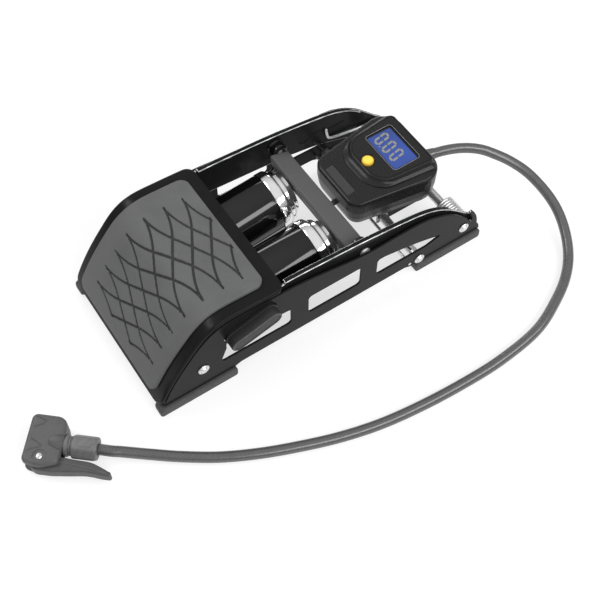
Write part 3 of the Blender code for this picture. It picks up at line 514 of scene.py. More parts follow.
FINISHES = {
    # Gloss black on the drawn steel cylinders, with slow waves and a fine grain.
    "barrel_paint": Finish(
        (0.003, 0.003, 0.0033), 0.08, (noise(80.0), 0.8, 1.3), (noise(420.0, 5.0), 0.06, 0.1),
        [(noise(70.0, 1.0), 0.00002, 0.3), (noise(1500.0, 2.0), 0.000002, 0.5)],
    ),
    # Mid grey powder coat with a sandy grain.
    "grey_paint": Finish(
        (0.094, 0.094, 0.095), 0.5, (noise(700.0, 4.0), 0.86, 1.12), (noise(120.0), 0.44, 0.58),
        [(noise(1800.0, 3.0), 0.00006, 0.6)],
        shine=0.3,
    ),
    # The bottoms of the pad's grooves: painted shade, darker than the pad for the shade that falls in
    # them.
    "groove_painted_shade": Finish(
        (0.022, 0.022, 0.023), 0.7, (noise(300.0, 4.0), 0.8, 1.25), (noise(900.0), 0.6, 0.8),
        [(cells(2600.0), 0.00004, 0.6)],
    ),
    # Soft dark grey rubber with a grainy moulded skin.
    "foot_rubber": Finish(
        (0.05, 0.05, 0.051), 0.55, (noise(130.0, 5.0), 0.75, 1.3), (noise(500.0, 4.0), 0.55, 0.78),
        [(noise(2200.0, 3.0), 0.00006, 0.6)],
    ),
    # Smooth extruded rubber with a soft sheen and a faint grain.
    "hose_rubber": Finish(
        (0.07, 0.07, 0.071), 0.28, (noise(160.0, 4.0), 0.8, 1.25), (noise(900.0, 4.0), 0.24, 0.34),
        [(noise(1400.0, 3.0), 0.00003, 0.5)],
        shine=0.9,
    ),
    # Dark grey spark-eroded plastic.
    "gauge_plastic": Finish(
        (0.0155, 0.0155, 0.0162), 0.3, (noise(240.0, 4.0), 0.92, 1.09), (noise(900.0, 3.0), 0.24, 0.3),
        [(noise(3200.0, 2.0), 0.000006, 0.4)],
        shine=0.22,
    ),
    # Zinc-plated steel with a fine grain and slightly cloudy plating.
    "bright_steel": Finish(
        (0.74, 0.74, 0.75), 0.26, (noise(240.0, 4.0), 0.75, 1.12), (noise(700.0, 5.0), 0.18, 0.36),
        [(noise(1800.0, 4.0), 0.00002, 0.5)],
        metallic=0.75,
    ),
    # Bright chrome with the slow ripple of polished castings and light hazing.
    "chrome_plate": Finish(
        (0.95, 0.95, 0.96), 0.06, (noise(150.0, 3.0), 0.9, 1.05), (noise(600.0, 5.0), 0.05, 0.13),
        [(noise(62.0, 1.0, 0.4), 0.0016, 0.7)],
        metallic=1.0,
    ),
    # The pedal sheet's satin black, a little greyer than the plates.
    "sheet_paint": Finish(
        (0.0105, 0.0105, 0.011), 0.2, (noise(60.0), 0.8, 1.25), (noise(260.0, 5.0), 0.16, 0.28),
        [(noise(1100.0, 2.0), 0.00003, 0.5)],
        shine=0.09,
    ),
    # Gloss black on the turned collars.
    "collar_paint": Finish(
        (0.006, 0.006, 0.006), 0.12, (noise(200.0), 0.8, 1.3), (noise(600.0, 4.0), 0.08, 0.2),
        [(noise(900.0, 2.0), 0.00001, 0.5)],
    ),
    # Plated spring wire with a fine grain.
    "spring_steel": Finish(
        (0.82, 0.82, 0.83), 0.35, (noise(500.0, 4.0), 0.8, 1.15), (noise(1400.0, 4.0), 0.3, 0.5),
        [(noise(2600.0, 3.0), 0.00002, 0.5)],
        metallic=1.0,
    ),
    # The latch knob's mid grey moulded plastic.
    "knob_plastic": Finish(
        (0.024, 0.024, 0.025), 0.36, (noise(300.0, 4.0), 0.85, 1.18), (noise(800.0, 3.0), 0.36, 0.5),
        [(cells(3400.0), 0.00003, 0.6)],
        shine=0.3,
    ),
    # A painted highlight: the pale line along the crest round the latch knob's face.
    "knob_painted_highlight": Finish(
        (0.085, 0.085, 0.087), 0.36, (noise(900.0, 3.0), 0.7, 1.3), (noise(900.0), 0.35, 0.5),
    ),
    # A painted highlight: the fine pale line round the display's window.
    "frame_painted_highlight": Finish(
        (0.3, 0.3, 0.29), 0.35, (noise(900.0, 3.0), 0.6, 1.2), (noise(900.0), 0.3, 0.45),
    ),
    # A blank dark label with a faint satin grain.
    "label_film": Finish(
        (0.03, 0.03, 0.031), 0.3, (noise(800.0, 4.0), 0.85, 1.15), (noise(500.0, 3.0), 0.26, 0.36),
        [(noise(3000.0, 2.0), 0.00001, 0.5)],
    ),
    # The soft seal inside the valve head.
    "seal_rubber": Finish(
        (0.02, 0.02, 0.021), 0.6, (noise(400.0), 0.8, 1.3), (noise(700.0), 0.5, 0.7),
        [(noise(2500.0), 0.00003, 0.5)],
    ),
    # The soft yellow button.
    "button_plastic": Finish(
        (0.93, 0.72, 0.09), 0.42, (noise(500.0, 3.0), 0.94, 1.06), (noise(900.0), 0.36, 0.5),
        [(noise(3000.0), 0.00002, 0.5)],
    ),
    # Painted shade on the button's rounded edge: a deeper yellow.
    "button_edge_shade": Finish(
        (0.72, 0.44, 0.025), 0.45, (noise(500.0, 3.0), 0.92, 1.08), (noise(900.0), 0.4, 0.52),
        [(noise(3000.0), 0.00002, 0.5)],
    ),
    # The display's pale digits.
    "display_digit": Finish(
        (0.27, 0.27, 0.235), 0.45, (noise(600.0), 0.92, 1.08), (noise(800.0), 0.35, 0.45),
    ),
    # The display's clear cover.
    "clear_window": Finish(
        (0.35, 0.38, 0.45), 0.12, (noise(300.0), 0.97, 1.02), (noise(500.0), 0.03, 0.08),
        alpha=0.03,
        shine=0.1,
    ),
    # The circuit board.
    "board_green": Finish(
        (0.02, 0.16, 0.06), 0.4, (cells(600.0), 0.8, 1.2), (noise(900.0), 0.34, 0.5),
        [(cells(900.0), 0.00005, 0.5)],
    ),
}


def plain(name):
    """A look made from its row of the table."""
    finish = FINISHES[name]
    made = Look(name, finish.colour, finish.roughness, finish.metallic)
    made.set("Specular IOR Level", finish.shine)
    made.set("Alpha", finish.alpha)
    pattern, low, high = finish.tint
    made.tint(pattern(made), low, high)
    pattern, low, high = finish.rough
    made.rough(pattern(made), low, high)
    for pattern, distance, strength in finish.relief:
        made.bump(pattern(made), distance, strength)
    return made


# The looks that mix or stretch their patterns.


def black_paint(name):
    """Satin black powder coat with a fine orange peel and faint handling scuffs."""
    made = Look(name, (0.0125, 0.0125, 0.013), 0.22)
    made.set("Specular IOR Level", 0.06)
    made.tint(made.noise(55.0), 0.8, 1.25)
    scuffs = made.noise(260.0, 6.0, 0.7, made.stretched((1.0, 6.0, 6.0), (12.0, 20.0, 30.0)))
    made.rough(scuffs, 0.15, 0.28)
    made.bump(made.noise(900.0, 2.0), 0.00004, 0.5)
    made.bump(made.noise(3600.0, 2.0), 0.00001, 0.5)
    return made


def painted_edge_highlight(name):
    """A painted highlight on the edges of the black sheet parts: pale metal in patches, for the light
    that the edges catch.
    """
    made = Look(name, (0.7, 0.7, 0.71), 0.38, 0.75)
    patches = made.noise(90.0, 4.0)
    made.tint(made.mapped(patches, 0.35, 0.65), 0.4, 1.3)
    made.rough(patches, 0.3, 0.45)
    made.bump(made.noise(1500.0, 3.0), 0.00001, 0.5)
    return made


def pad_rubber(name):
    """The grey pedal pad: matt rubber with a fine moulded grain, a little dustier in patches."""
    made = Look(name, (0.128, 0.129, 0.131), 0.6)
    made.set("Specular IOR Level", 0.35)
    patches = made.noise(38.0, 4.0)
    made.tint(made.product(patches, made.noise(1600.0, 2.0)), 0.62, 1.5)
    made.rough(patches, 0.5, 0.68)
    made.bump(made.cells(2600.0), 0.00003, 0.5)
    made.bump(made.noise(420.0, 3.0), 0.00002, 0.4)
    return made


def moulded_nylon(name):
    """Glass-filled nylon with faint flow marks, in one of the valve head's three greys."""
    shade = NYLON_SHADES[name]
    made = Look(name, (shade, shade, 1.02 * shade), 0.46)
    flow = made.noise(110.0, 5.0, 0.6, made.stretched((1.0, 2.5, 1.0), (0.0, 0.0, FLOW_TURN)))
    made.tint(flow, 0.66, 1.4)
    made.rough(flow, 0.42, 0.58)
    made.bump(made.noise(2600.0, 3.0), 0.00004, 0.6)
    return made


def display_blue(name):
    """The display's lit blue ground, its glow a little uneven."""
    made = Look(name, (0.009, 0.042, 0.24), 0.35)
    glow = made.tint(made.noise(45.0, 1.0), 0.75, 1.3)
    made.feed(made.shader.inputs["Emission Color"], glow)
    made.set("Emission Strength", 0.3)
    made.rough(made.noise(800.0), 0.3, 0.42)
    made.bump(made.noise(3000.0), 0.00001, 0.4)
    return made


MAKERS = {
    "black_paint": black_paint,
    "painted_edge_highlight": painted_edge_highlight,
    "pad_rubber": pad_rubber,
    "chuck_plastic": moulded_nylon,
    "nut_plastic": moulded_nylon,
    "lever_plastic": moulded_nylon,
    "display_blue": display_blue,
}

# The CAD nodes of each look, by the start of their names. The longest start wins.
LOOK_NODES = {
    "black_paint": (
        "side_plate", "arm_plate", "pedal_plate", "crossbar_lug", "gauge_bracket", "latch_carrier",
        "base_cap",
    ),
    "foot_rubber": ("foot",),
    "pad_rubber": ("pedal_pad",),
    "bright_steel": (
        "crossbar_bolt", "pivot_bush", "torsion_spring", "front_axle", "main_axle", "cross_rod",
        "thin_rod", "coin_cell", "chuck_pin", "piston_rod", "rod_pin",
    ),
    "collar_paint": ("crossbar_collar",),
    "grey_paint": ("crossbar",),
    "button_plastic": ("gauge_button",),
    "gauge_plastic": ("gauge", "pressure_sensor", "cell_door", "air_manifold", "latch_knob", "piston"),
    "display_blue": ("lcd_panel",),
    "clear_window": ("lcd_window",),
    "board_green": ("circuit_board",),
    "hose_rubber": ("air_line", "hose_gland", "hose"),
    "seal_rubber": ("chuck_seal",),
    "chuck_plastic": ("chuck",),
    "barrel_paint": ("barrel",),
    "chrome_plate": ("end_cap",),
}


def look_of(node):
    """The material name of a CAD node."""
    found = []
    for name, starts in LOOK_NODES.items():
        found += [(len(start), name) for start in starts if node.startswith(start)]
    return max(found)[1]


def soften(thing):
    """Rounds a sheet part's edges and paints a highlight on them in pale metal."""
    weld = thing.modifiers.new("weld", "WELD")
    weld.merge_threshold = EDGE_WELD * MM
    edge = thing.modifiers.new("edge", "BEVEL")
    edge.width = EDGE_WIDTH * MM
    edge.segments = EDGE_STEPS
    edge.limit_method = "ANGLE"
    edge.angle_limit = math.radians(EDGE_ANGLE)
    # The bevel's faces take the painted highlight, a pale metal standing for the light that the edges
    # catch.
    thing.data.materials.append(look("painted_edge_highlight"))
    edge.material = 1
    edge.harden_normals = True
    edge.use_clamp_overlap = False


def paint_nodes():
    """Gives every CAD node its look."""
    for name, thing in NODES.items():
        thing.data.materials.clear()
        thing.data.materials.append(look(look_of(name)))
        if name.startswith(SOFTENED):
            soften(thing)


# Mesh building, in the pump's own frame and in millimetres.

WELD_REACH = 1e-6
WIRE_TAPER = 0.45
WIRE_BULGE = 0.4
WIRE_SHARP = 60.0


def arc(centre, radius, start, end, steps):
    """Points on an arc about a centre, between two angles in degrees, both ends included."""
    angles = [math.radians(start + (end - start) * i / steps) for i in range(steps + 1)]
    return [(centre[0] + radius * math.cos(a), centre[1] + radius * math.sin(a)) for a in angles]


def rounded(corners, steps=8):
    """A closed outline whose corners (x, y, radius) are rounded off."""
    points = []
    for i, (x, y, radius) in enumerate(corners):
        here = Vector((x, y))
        before = (Vector(corners[i - 1][:2]) - here).normalized()
        after = (Vector(corners[(i + 1) % len(corners)][:2]) - here).normalized()
        half = before.angle(after) / 2.0
        centre = here + (before + after).normalized() * radius / math.sin(half)
        first = here + before * radius / math.tan(half) - centre
        last = here + after * radius / math.tan(half) - centre
        sweep = first.angle_signed(last)
        for k in range(steps + 1):
            points.append(tuple(centre + Matrix.Rotation(-sweep * k / steps, 2) @ first))
    return points


def smooth(points, step):
    """Points about a step apart on a smooth curve through the given ones, in two or three axes."""
    knots = [Vector(point) for point in points]
    knots = [2 * knots[0] - knots[1], *knots, 2 * knots[-1] - knots[-2]]
    found = []
    for before, start, end, after in zip(knots, knots[1:], knots[2:], knots[3:]):
        count = max(1, round((end - start).length / step))
        for k in range(count):
            t = k / count
            point = 2 * start + (end - before) * t
            point = point + (2 * before - 5 * start + 4 * end - after) * t**2
            point = point + (3 * start - before - 3 * end + after) * t**3
            found.append(point / 2)
    return [*found, knots[-2]]


def inset(outline, amount):
    """A closed outline moved in by an amount along the mean normal at each point."""
    pairs = zip(outline, outline[1:] + outline[:1])
    turn = math.copysign(1.0, sum(a[0] * b[1] - b[0] * a[1] for a, b in pairs))
    moved = []
    for i, (x, y) in enumerate(outline):
        before = Vector(outline[i - 1])
        after = Vector(outline[(i + 1) % len(outline)])
        along = (after - before).normalized()
        moved.append((x - turn * along.y * amount, y + turn * along.x * amount))
    return moved


def mesh_from(name, verts, faces, sharp=SHARP):
    """A mesh in the row frame from points in the pump's frame, facing out and shaded smooth."""
    mesh = bpy.data.meshes.new(name)
    mesh.from_pydata([spot(point) for point in verts], [], faces)
    bm = bmesh.new()
    bm.from_mesh(mesh)
    bmesh.ops.remove_doubles(bm, verts=bm.verts, dist=WELD_REACH)
    loose = [edge for edge in bm.edges if not edge.link_faces]
    bmesh.ops.delete(bm, geom=loose, context="EDGES")
    bmesh.ops.recalc_face_normals(bm, faces=bm.faces)
    bm.to_mesh(mesh)
    bm.free()
    mesh.shade_smooth()
    mesh.set_sharp_from_angle(angle=math.radians(sharp))
    return mesh


def piece(name, mesh, look_name, body, stands_for=None):
    """A piece of the looks that moves with a body. It may stand for a CAD node."""
    thing = add_to_scene(name, mesh)
    thing.data.materials.append(look(look_name))
    if stands_for:
        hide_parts(stands_for)
    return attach(thing, body)


def loft(name, loops, sharp=SHARP, closed=False):
    """A skin through closed loops of one length, capped at its ends or closed on itself."""
    count = len(loops[0])
    verts = [point for loop in loops for point in loop]
    faces = []
    for ring in range(len(loops) if closed else len(loops) - 1):
        low = ring * count
        high = (ring + 1) % len(loops) * count
        for i in range(count):
            j = (i + 1) % count
            faces.append((low + i, low + j, high + j, high + i))
    if not closed:
        faces.append(tuple(range(count)))
        faces.append(tuple(range(len(verts) - count, len(verts))))
    return mesh_from(name, verts, faces, sharp)


def slab(name, outline, levels, lift, sharp=SHARP):
    """A flat piece with worked edges: levels are (height, inset), and lift places (x, y, height)."""
    loops = [[lift(x, y, height) for x, y in inset(outline, amount)] for height, amount in levels]
    return loft(name, loops, sharp)


def soft_edges(low, high, radius, steps=4):
    """The levels of a slab whose two edges are rounded."""
    levels = []
    for angle in (math.radians(90.0 * k / steps) for k in range(steps + 1)):
        levels.append((radius * (1.0 - math.sin(angle)), radius * (1.0 - math.cos(angle))))
    levels.reverse()
    upper = [(high - height, amount) for height, amount in reversed(levels)]
    return [(low + height, amount) for height, amount in levels] + upper


def lathe(name, profile, place, steps=64, sharp=SHARP):
    """A turned skin from a closed outline of (radius, along); place maps (along, u, v) to a point."""
    loops = []
    for k in range(steps):
        angle = 2.0 * math.pi * k / steps
        loops.append([place(a, r * math.cos(angle), r * math.sin(angle)) for r, a in profile])
    return loft(name, loops, sharp, closed=True)


def tube(name, points, radius, sides=12):
    """A round wire along points, with its ends rounded off."""
    points = [Vector(point) for point in points]
    steps = [(b - a).normalized() for a, b in zip(points, points[1:])]
    tangents = [steps[0], *((a + b).normalized() for a, b in zip(steps, steps[1:])), steps[-1]]
    across = tangents[0].orthogonal().normalized()
    loops = []
    for point, along in zip(points, tangents):
        across = (across - along * across.dot(along)).normalized()
        third = along.cross(across)
        turns = [2.0 * math.pi * k / sides for k in range(sides)]
        loops.append([point + (across * math.cos(a) + third * math.sin(a)) * radius for a in turns])
    bulge = radius * WIRE_BULGE
    start = [p.lerp(points[0], WIRE_TAPER) - tangents[0] * bulge for p in loops[0]]
    end = [p.lerp(points[-1], WIRE_TAPER) + tangents[-1] * bulge for p in loops[-1]]
    return loft(name, [start, *loops, end], WIRE_SHARP)


def ring_tube(name, points, radius, sides=8):
    """A round bead along a closed line of points."""
    points = [Vector(point) for point in points]
    loops = []
    for i, point in enumerate(points):
        along = (points[(i + 1) % len(points)] - points[i - 1]).normalized()
        out = along.cross(Vector((0.0, 0.0, 1.0))).normalized()
        turns = [2.0 * math.pi * k / sides for k in range(sides)]
        up = out.cross(along)
        loops.append([point + (out * math.cos(a) + up * math.sin(a)) * radius for a in turns])
    return loft(name, loops, WIRE_SHARP, closed=True)


def carve(thing, mesh):
    """Cuts a closed mesh from a piece and keeps the result."""
    helper = add_to_scene("helper", mesh)
    shape = thing.modifiers.new("shape", "BOOLEAN")
    shape.operation = "DIFFERENCE"
    shape.solver = "EXACT"
    shape.object = helper
    graph = bpy.context.evaluated_depsgraph_get()
    result = bpy.data.meshes.new_from_object(thing.evaluated_get(graph))
    thing.modifiers.clear()
    thing.data = result
    bpy.data.objects.remove(helper)
    result.shade_smooth()
    result.set_sharp_from_angle(angle=math.radians(SHARP))


def across_at(axis):
    """Places a turned piece about a line along Y through (X, Z)."""
    return lambda a, u, v: (axis[0] + u, a, axis[1] + v)


def upright_at(centre, base=0.0):
    """Places a turned piece about a line along Z through (X, Y)."""
    return lambda a, u, v: (centre[0] + u, centre[1] + v, base + a)


# The base: feet and riveted rods.


def make_feet():
    for end, front, rear in (("front", 0.0, 75.0), ("rear", 262.0, LENGTH)):
        corners = [(front, 0.0, 3.0), (rear, 0.0, 3.0), (rear, FOOT_TOP, 4.0), (front, FOOT_TOP, 4.0)]
        outline = rounded(corners)
        for side, word in SIDES:

            def lift(x, z, out, side=side):
                return (x, side * (HALF_WIDTH - out), z)

            name = f"foot_{end}_{word}"
            mesh = slab(name, outline, soft_edges(0.0, FOOT_WIDTH, 1.5), lift)
            piece(f"{name}_rubber", mesh, "foot_rubber", "base_frame", name)


def make_rivets():
    """Plated rods whose ends are riveted into ringed domes outside the plates."""
    under = PLATE_OUT + 0.3
    half = [(0.0, 0.45), (0.7, 0.4), (1.6, 0.12), (2.3, 0.0), (3.0, 0.25), (3.5, 0.95)]
    half += [(4.3, 1.0), (4.9, 1.3), (HEAD_R, 1.8)]
    half = [(r, HALF_WIDTH - down) for r, down in half] + [(HEAD_R, under), (AXLE_R, under)]
    profile = half + [(r, -y) for r, y in reversed(half)]
    for node, axle in (("front_axle", FRONT_AXLE), ("main_axle", MAIN_AXLE), ("cross_rod", CROSS_ROD)):
        mesh = lathe(node, profile, across_at(axle), 48, 30.0)
        piece(f"{node}_riveted", mesh, "bright_steel", "base_frame", node)


# The two cylinders, along the line from the front axle to the rod pins.


def along_barrel(side):
    def place(a, u, v):
        x = FRONT_AXLE[0] + BARREL_AXIS.x * a - BARREL_AXIS.y * v
        z = FRONT_AXLE[1] + BARREL_AXIS.y * a + BARREL_AXIS.x * v
        return (x, side * BARREL_Y + u, z)

    return place


def make_cylinders():
    for side, word in SIDES:
        barrel = lathe("barrel", BARREL_PROFILE, along_barrel(side), 128)
        piece(f"barrel_{word}_tube", barrel, "barrel_paint", "cylinders", f"barrel_{word}")
        cap = lathe("end_cap", CAP_PROFILE, along_barrel(side), 128, 50.0)
        piece(f"end_cap_{word}_plated", cap, "chrome_plate", "cylinders", f"end_cap_{word}")


# The pedal: a curved sheet with rolled edges under a grooved rubber pad.


class PedalCurve:
    """The pedal's curve, asked for a place at a length along it and a height over it."""

    def __init__(self):
        self.line = smooth(PEDAL_CURVE, CURVE_STEP)
        self.lengths = [0.0]
        for before, here in zip(self.line, self.line[1:]):
            self.lengths.append(self.lengths[-1] + (here - before).length)
        self.length = self.lengths[-1]

    def lift(self, distance, y, height):
        i = max(bisect.bisect_left(self.lengths, distance) - 1, 0)
        share = (distance - self.lengths[i]) / (self.lengths[i + 1] - self.lengths[i])
        ahead = self.line[min(i + CURVE_REACH, len(self.line) - 1)]
        along = (ahead - self.line[max(i + 1 - CURVE_REACH, 0)]).normalized()
        point = self.line[i].lerp(self.line[i + 1], share) + Vector((-along.y, along.x)) * height
        return (point.x, y, point.y)


def drawn_in(at, start, end, corner):
    """How far a rounded corner draws an edge in, at a place between a start and an end."""
    depth = max(0.0, corner - min(at - start, end - at))
    return corner - math.sqrt(max(corner**2 - depth**2, 0.0))


def stations(start, end, corner, step):
    """Places from start to end, closer together round the corners."""
    turns = round(corner * math.pi / 2.0 / step)
    turn = [corner * (1.0 - math.cos(math.pi / 2.0 * k / turns)) for k in range(turns)]
    middle = end - start - 2.0 * corner
    count = round(middle / step)
    inner = [start + corner + middle * k / count for k in range(count + 1)]
    return [start + t for t in turn] + inner + [end - t for t in reversed(turn)]


def make_pedal_sheet(curve):
    bend = (PEDAL_HALF - PEDAL_EDGE, PEDAL_RISE - PEDAL_EDGE)
    inside = PEDAL_EDGE - PEDAL_SHEET
    outer = [(PEDAL_HALF, -PEDAL_LIP), *arc(bend, PEDAL_EDGE, 0.0, 90.0, 8), (PAD_HALF, PEDAL_RISE)]
    inner = [(PAD_HALF, PEDAL_RISE - PEDAL_SHEET), *arc(bend, inside, 90.0, 0.0, 4)]
    inner.append((PEDAL_HALF - PEDAL_SHEET, -PEDAL_LIP))
    section = outer + [(-y, h) for y, h in reversed(outer)]
    section += [(-y, h) for y, h in reversed(inner)] + inner
    loops = []
    for at in stations(0.0, curve.length, PEDAL_CORNER, PEDAL_STEP):
        draw = drawn_in(at, 0.0, curve.length, PEDAL_CORNER)
        loops.append([curve.lift(at, math.copysign(abs(y) - draw, y), h) for y, h in section])
    piece("pedal_sheet", loft("pedal_sheet", loops), "sheet_paint", "pedal_arm", "pedal_plate")


def groove_share(y):
    """How far across the pad a groove has run at y, from 0 at the far side to 1 at the near side."""
    out = min(abs(y - GROOVE_MIDDLE), GROOVE_HALF)
    if out < GROOVE_CORE:
        share = 0.25 * out / GROOVE_CORE
    else:
        share = 0.5 - 0.25 * (1.0 - (out - GROOVE_CORE) / (GROOVE_HALF - GROOVE_CORE)) ** GROOVE_BEND
    return 0.5 - math.copysign(share, y - GROOVE_MIDDLE)


def groove_depth(at, y):
    """The depth from 0 to 1 of the lattice of S-shaped grooves at a place on the pad."""
    out = abs(y - GROOVE_MIDDLE)
    number = (at - GROOVE_FIRST) / GROOVE_STEP
    if out > GROOVE_HALF + 0.5 or not -GROOVE_TAIL < number < GROOVE_LAST + GROOVE_TAIL:
        return 0.0
    share = groove_share(y)
    slope = 2.0 * abs(groove_share(y - 0.5) - groove_share(y + 0.5)) * GROOVE_STEP
    depth = 0.0
    for line in (number + 2.0 * share, number - 2.0 * share):
        away = abs(line - round(line)) * GROOVE_STEP / math.hypot(1.0, slope)
        width = GROOVE_WIDE - (GROOVE_WIDE - GROOVE_NARROW) * out / GROOVE_HALF
        depth = max(depth, min(1.0, 2.0 * (1.0 - away / width)))
    return depth


def make_pedal_pad(curve):
    """The pad, lofted along the pedal in fine steps, its edges rounded, its grooves sunk and painted
    shade in their bottoms.
    """
    start = PAD_FROM
    end = curve.length - PAD_TO
    rows = round(2.0 * PAD_HALF / PAD_STEP)
    low = PEDAL_RISE + PAD_GAP
    places = stations(start, end, PAD_CORNER, PAD_STEP)
    loops = []
    sunk = []
    for at in places:
        half = PAD_HALF - drawn_in(at, start, end, PAD_CORNER)
        loop = []
        for y in (half * (2.0 * j / rows - 1.0) for j in range(rows + 1)):
            rim = min(half - abs(y), at - start, end - at, PAD_EDGE)
            fall = PAD_EDGE - math.sqrt(PAD_EDGE**2 - (PAD_EDGE - rim) ** 2)
            depth = groove_depth(at, y)
            sunk.append(depth)
            loop.append(curve.lift(at, y, PAD_TOP - fall - GROOVE_DEPTH * depth))
        loops.append([*loop, curve.lift(at, half, low), curve.lift(at, -half, low)])
        sunk += [0.0, 0.0]
    mesh = loft("pedal_pad", loops, 50.0)
    piece("pedal_pad_grooved", mesh, "pad_rubber", "pedal_arm", "pedal_pad")
    # The faces deep in the grooves take the painted groove shade.
    mesh.materials.append(look("groove_painted_shade"))
    for polygon in mesh.polygons:
        corners = polygon.vertices
        if len(corners) == 4 and sum(sunk[v] for v in corners) > GROOVE_SHADE_FROM:
            polygon.material_index = 1


# The latch's knob.


def make_latch():
    """A tapered round-ended bar with a pale line round its face, a painted highlight on the crest of its
    rim, and the stub that it turns on.
    """
    tip, pivot = Vector(LATCH_TIP), Vector(LATCH_PIVOT)
    along = (pivot - tip).normalized()
    lean = math.degrees(math.atan2(along.y, along.x))

    def ring(out, radius, front=tip):
        points = arc(pivot, radius, lean - 90.0, lean + 90.0, 16)
        points += arc(front, radius, lean + 90.0, lean + 270.0, 16)
        return [(x, -out, z) for x, z in points]

    loops = [ring(out, LATCH_STUB, pivot) for out in (STUB_IN, KNOB_IN)]
    side = [(KNOB_IN, 0.6), (73.0, 0.1), (76.4, 0.1), (76.8, 0.7), (77.6, 0.6)]
    loops += [ring(out, LATCH_R - amount) for out, amount in side]
    face = [(-1.1, 0.6), (-0.35, 0.8), (-0.05, 1.4), (-0.05, 2.0), (-0.5, 2.6), (-0.4, 4.6)]
    loops += [ring(KNOB_OUT + out, LATCH_R - amount) for out, amount in face]
    knob = loft("latch_knob", loops, 45.0)
    piece("latch_knob_moulded", knob, "knob_plastic", "latch", "latch_knob")
    # A pale ring on the crest of the face's rim: a painted highlight.
    rim = ((-0.12, 1.3), (0.02, 1.45), (0.02, 1.85), (-0.12, 2.0))
    loops = [ring(KNOB_OUT + out, LATCH_R - amount) for out, amount in rim]
    line = loft("latch_highlight", loops, 45.0, closed=True)
    piece("latch_knob_highlight", line, "knob_painted_highlight", "latch")


# The gauge.


def gauge_outline(amount, steps=12):
    """The gauge's plan, a little wider at the rear, moved in by an amount."""
    front = GAUGE_FRONT + amount
    rear = GAUGE_REAR - amount
    ahead, behind = GAUGE_HALF_FRONT - amount, GAUGE_HALF_REAR - amount
    tight, wide = (max(radius - amount, 2.0) for radius in GAUGE_CORNERS)
    corners = [(front, -ahead, tight), (rear, -behind, wide), (rear, behind, wide), (front, ahead, tight)]
    return rounded(corners, steps)


def make_gauge_cover():
    """The upper shell: a crowned deck that falls off towards the pedal, with a blank label's recess."""
    levels = [(0.0, 0.0), (2.4, 0.0), (3.6, 0.25), (4.5, 0.8), (5.1, 1.6), (5.5, 2.6), (5.7, 4.0)]
    levels += [(6.0, 6.5), (6.4, 9.5), (6.8, 13.0)]
    loops = []
    for rise, amount in levels:
        share = rise / levels[-1][0]
        loop = []
        for x, y in gauge_outline(amount):
            fall = DECK_FALL * share * min(1.0, max(0.0, (DECK_FROM - x) / DECK_REACH)) ** 1.5
            loop.append((x, y, GAUGE_SPLIT + 0.3 + rise - fall))
        loops.append(loop)
    shell = loft("gauge_cover", loops)
    cover = piece("gauge_cover", shell, "gauge_plastic", "base_frame", "gauge_upper_shell")
    (x0, x1), half = LABEL_X, LABEL_HALF
    label = rounded([(x0, -half, 0.8), (x1, -half, 0.8), (x1, half, 0.8), (x0, half, 0.8)], 4)

    def level(outline, over):
        return [(x, y, LABEL_LEVEL + LABEL_SLOPE * (x - x0) + over) for x, y in outline]

    carve(cover, loft("label", [level(label, 0.0), level(label, 12.0)]))
    plate = [level(inset(label, 0.3), over) for over in (-0.2, 0.14)]
    piece("gauge_label", loft("gauge_label", plate), "label_film", "base_frame")


def bezel_rings():
    """The bezel's loops, from its crescent foot up a hollow ramp and over its flat face."""
    foot = rounded([(243, -29.5, 25), (309, -37, 7), (309, 37, 7), (243, 29.5, 25)], 16)
    face = rounded([(FACE_FROM, -26.5, 18), (307, -31.5, 5), (307, 31.5, 5), (FACE_FROM, 26.5, 18)], 16)
    rings = []
    for across, rise in ((0.0, 0.0), (0.03, 0.14), (0.1, 0.2), (0.35, 0.3), (0.6, 0.46), (0.8, 0.68)):
        rings.append((across, 0.0, rise))
    rings += [(0.93, 0.0, 0.9), (1.0, 0.0, 0.98), (1.0, 0.35, 1.0), (1.0, 1.1, 1.0), (1.0, 1.25, 0.94)]
    rings += [(1.0, 1.7, 0.94), (1.0, 1.85, 1.0)]
    loops = []
    for share, amount, rise in rings:
        outline = [Vector(a).lerp(Vector(b), share) for a, b in zip(foot, face)]
        if amount:
            outline = [Vector(point) for point in inset([tuple(p) for p in outline], amount)]
        loops.append([(p.x, p.y, BEZEL_LOW + (face_height(p.x) - BEZEL_LOW) * rise) for p in outline])
    return loops


def face_height(x):
    """The height of the bezel's face, which rises a little towards the rear."""
    return FACE_FRONT + FACE_SLOPE * (x - FACE_FROM)


def make_bezel():
    crescent = loft("gauge_crescent", bezel_rings(), 32.0)
    bezel = piece("gauge_crescent", crescent, "gauge_plastic", "base_frame", "gauge_bezel")
    x0, x1 = LCD_X[0] - 0.3, LCD_X[1] + 0.3
    half = LCD_HALF + 0.3
    window = rounded([(x0, -half, 1.6), (x1, -half, 1.6), (x1, half, 1.6), (x0, half, 1.6)], 6)
    levels = [(76.0, 0.0), (81.2, 0.0), (81.2, -1.3), (90.0, -1.3)]
    carve(bezel, loft("window", [[(x, y, z) for x, y in inset(window, amount)] for z, amount in levels]))
    # A pale bead round the window: a painted highlight along its edge.
    line = [(x, y, face_height(x) - 0.05) for x, y in inset(window, -1.45)]
    piece("lcd_frame_highlight", ring_tube("lcd_frame_highlight", line, 0.22), "frame_painted_highlight", "base_frame")
    height = face_height(BUTTON[0])
    hole = [(0.0, -7.0), (5.8, -7.0), (5.8, -1.0), (7.1, -0.45), (7.1, 5.0), (0.0, 5.0)]
    carve(bezel, lathe("hole", hole, upright_at(BUTTON, height), 48))


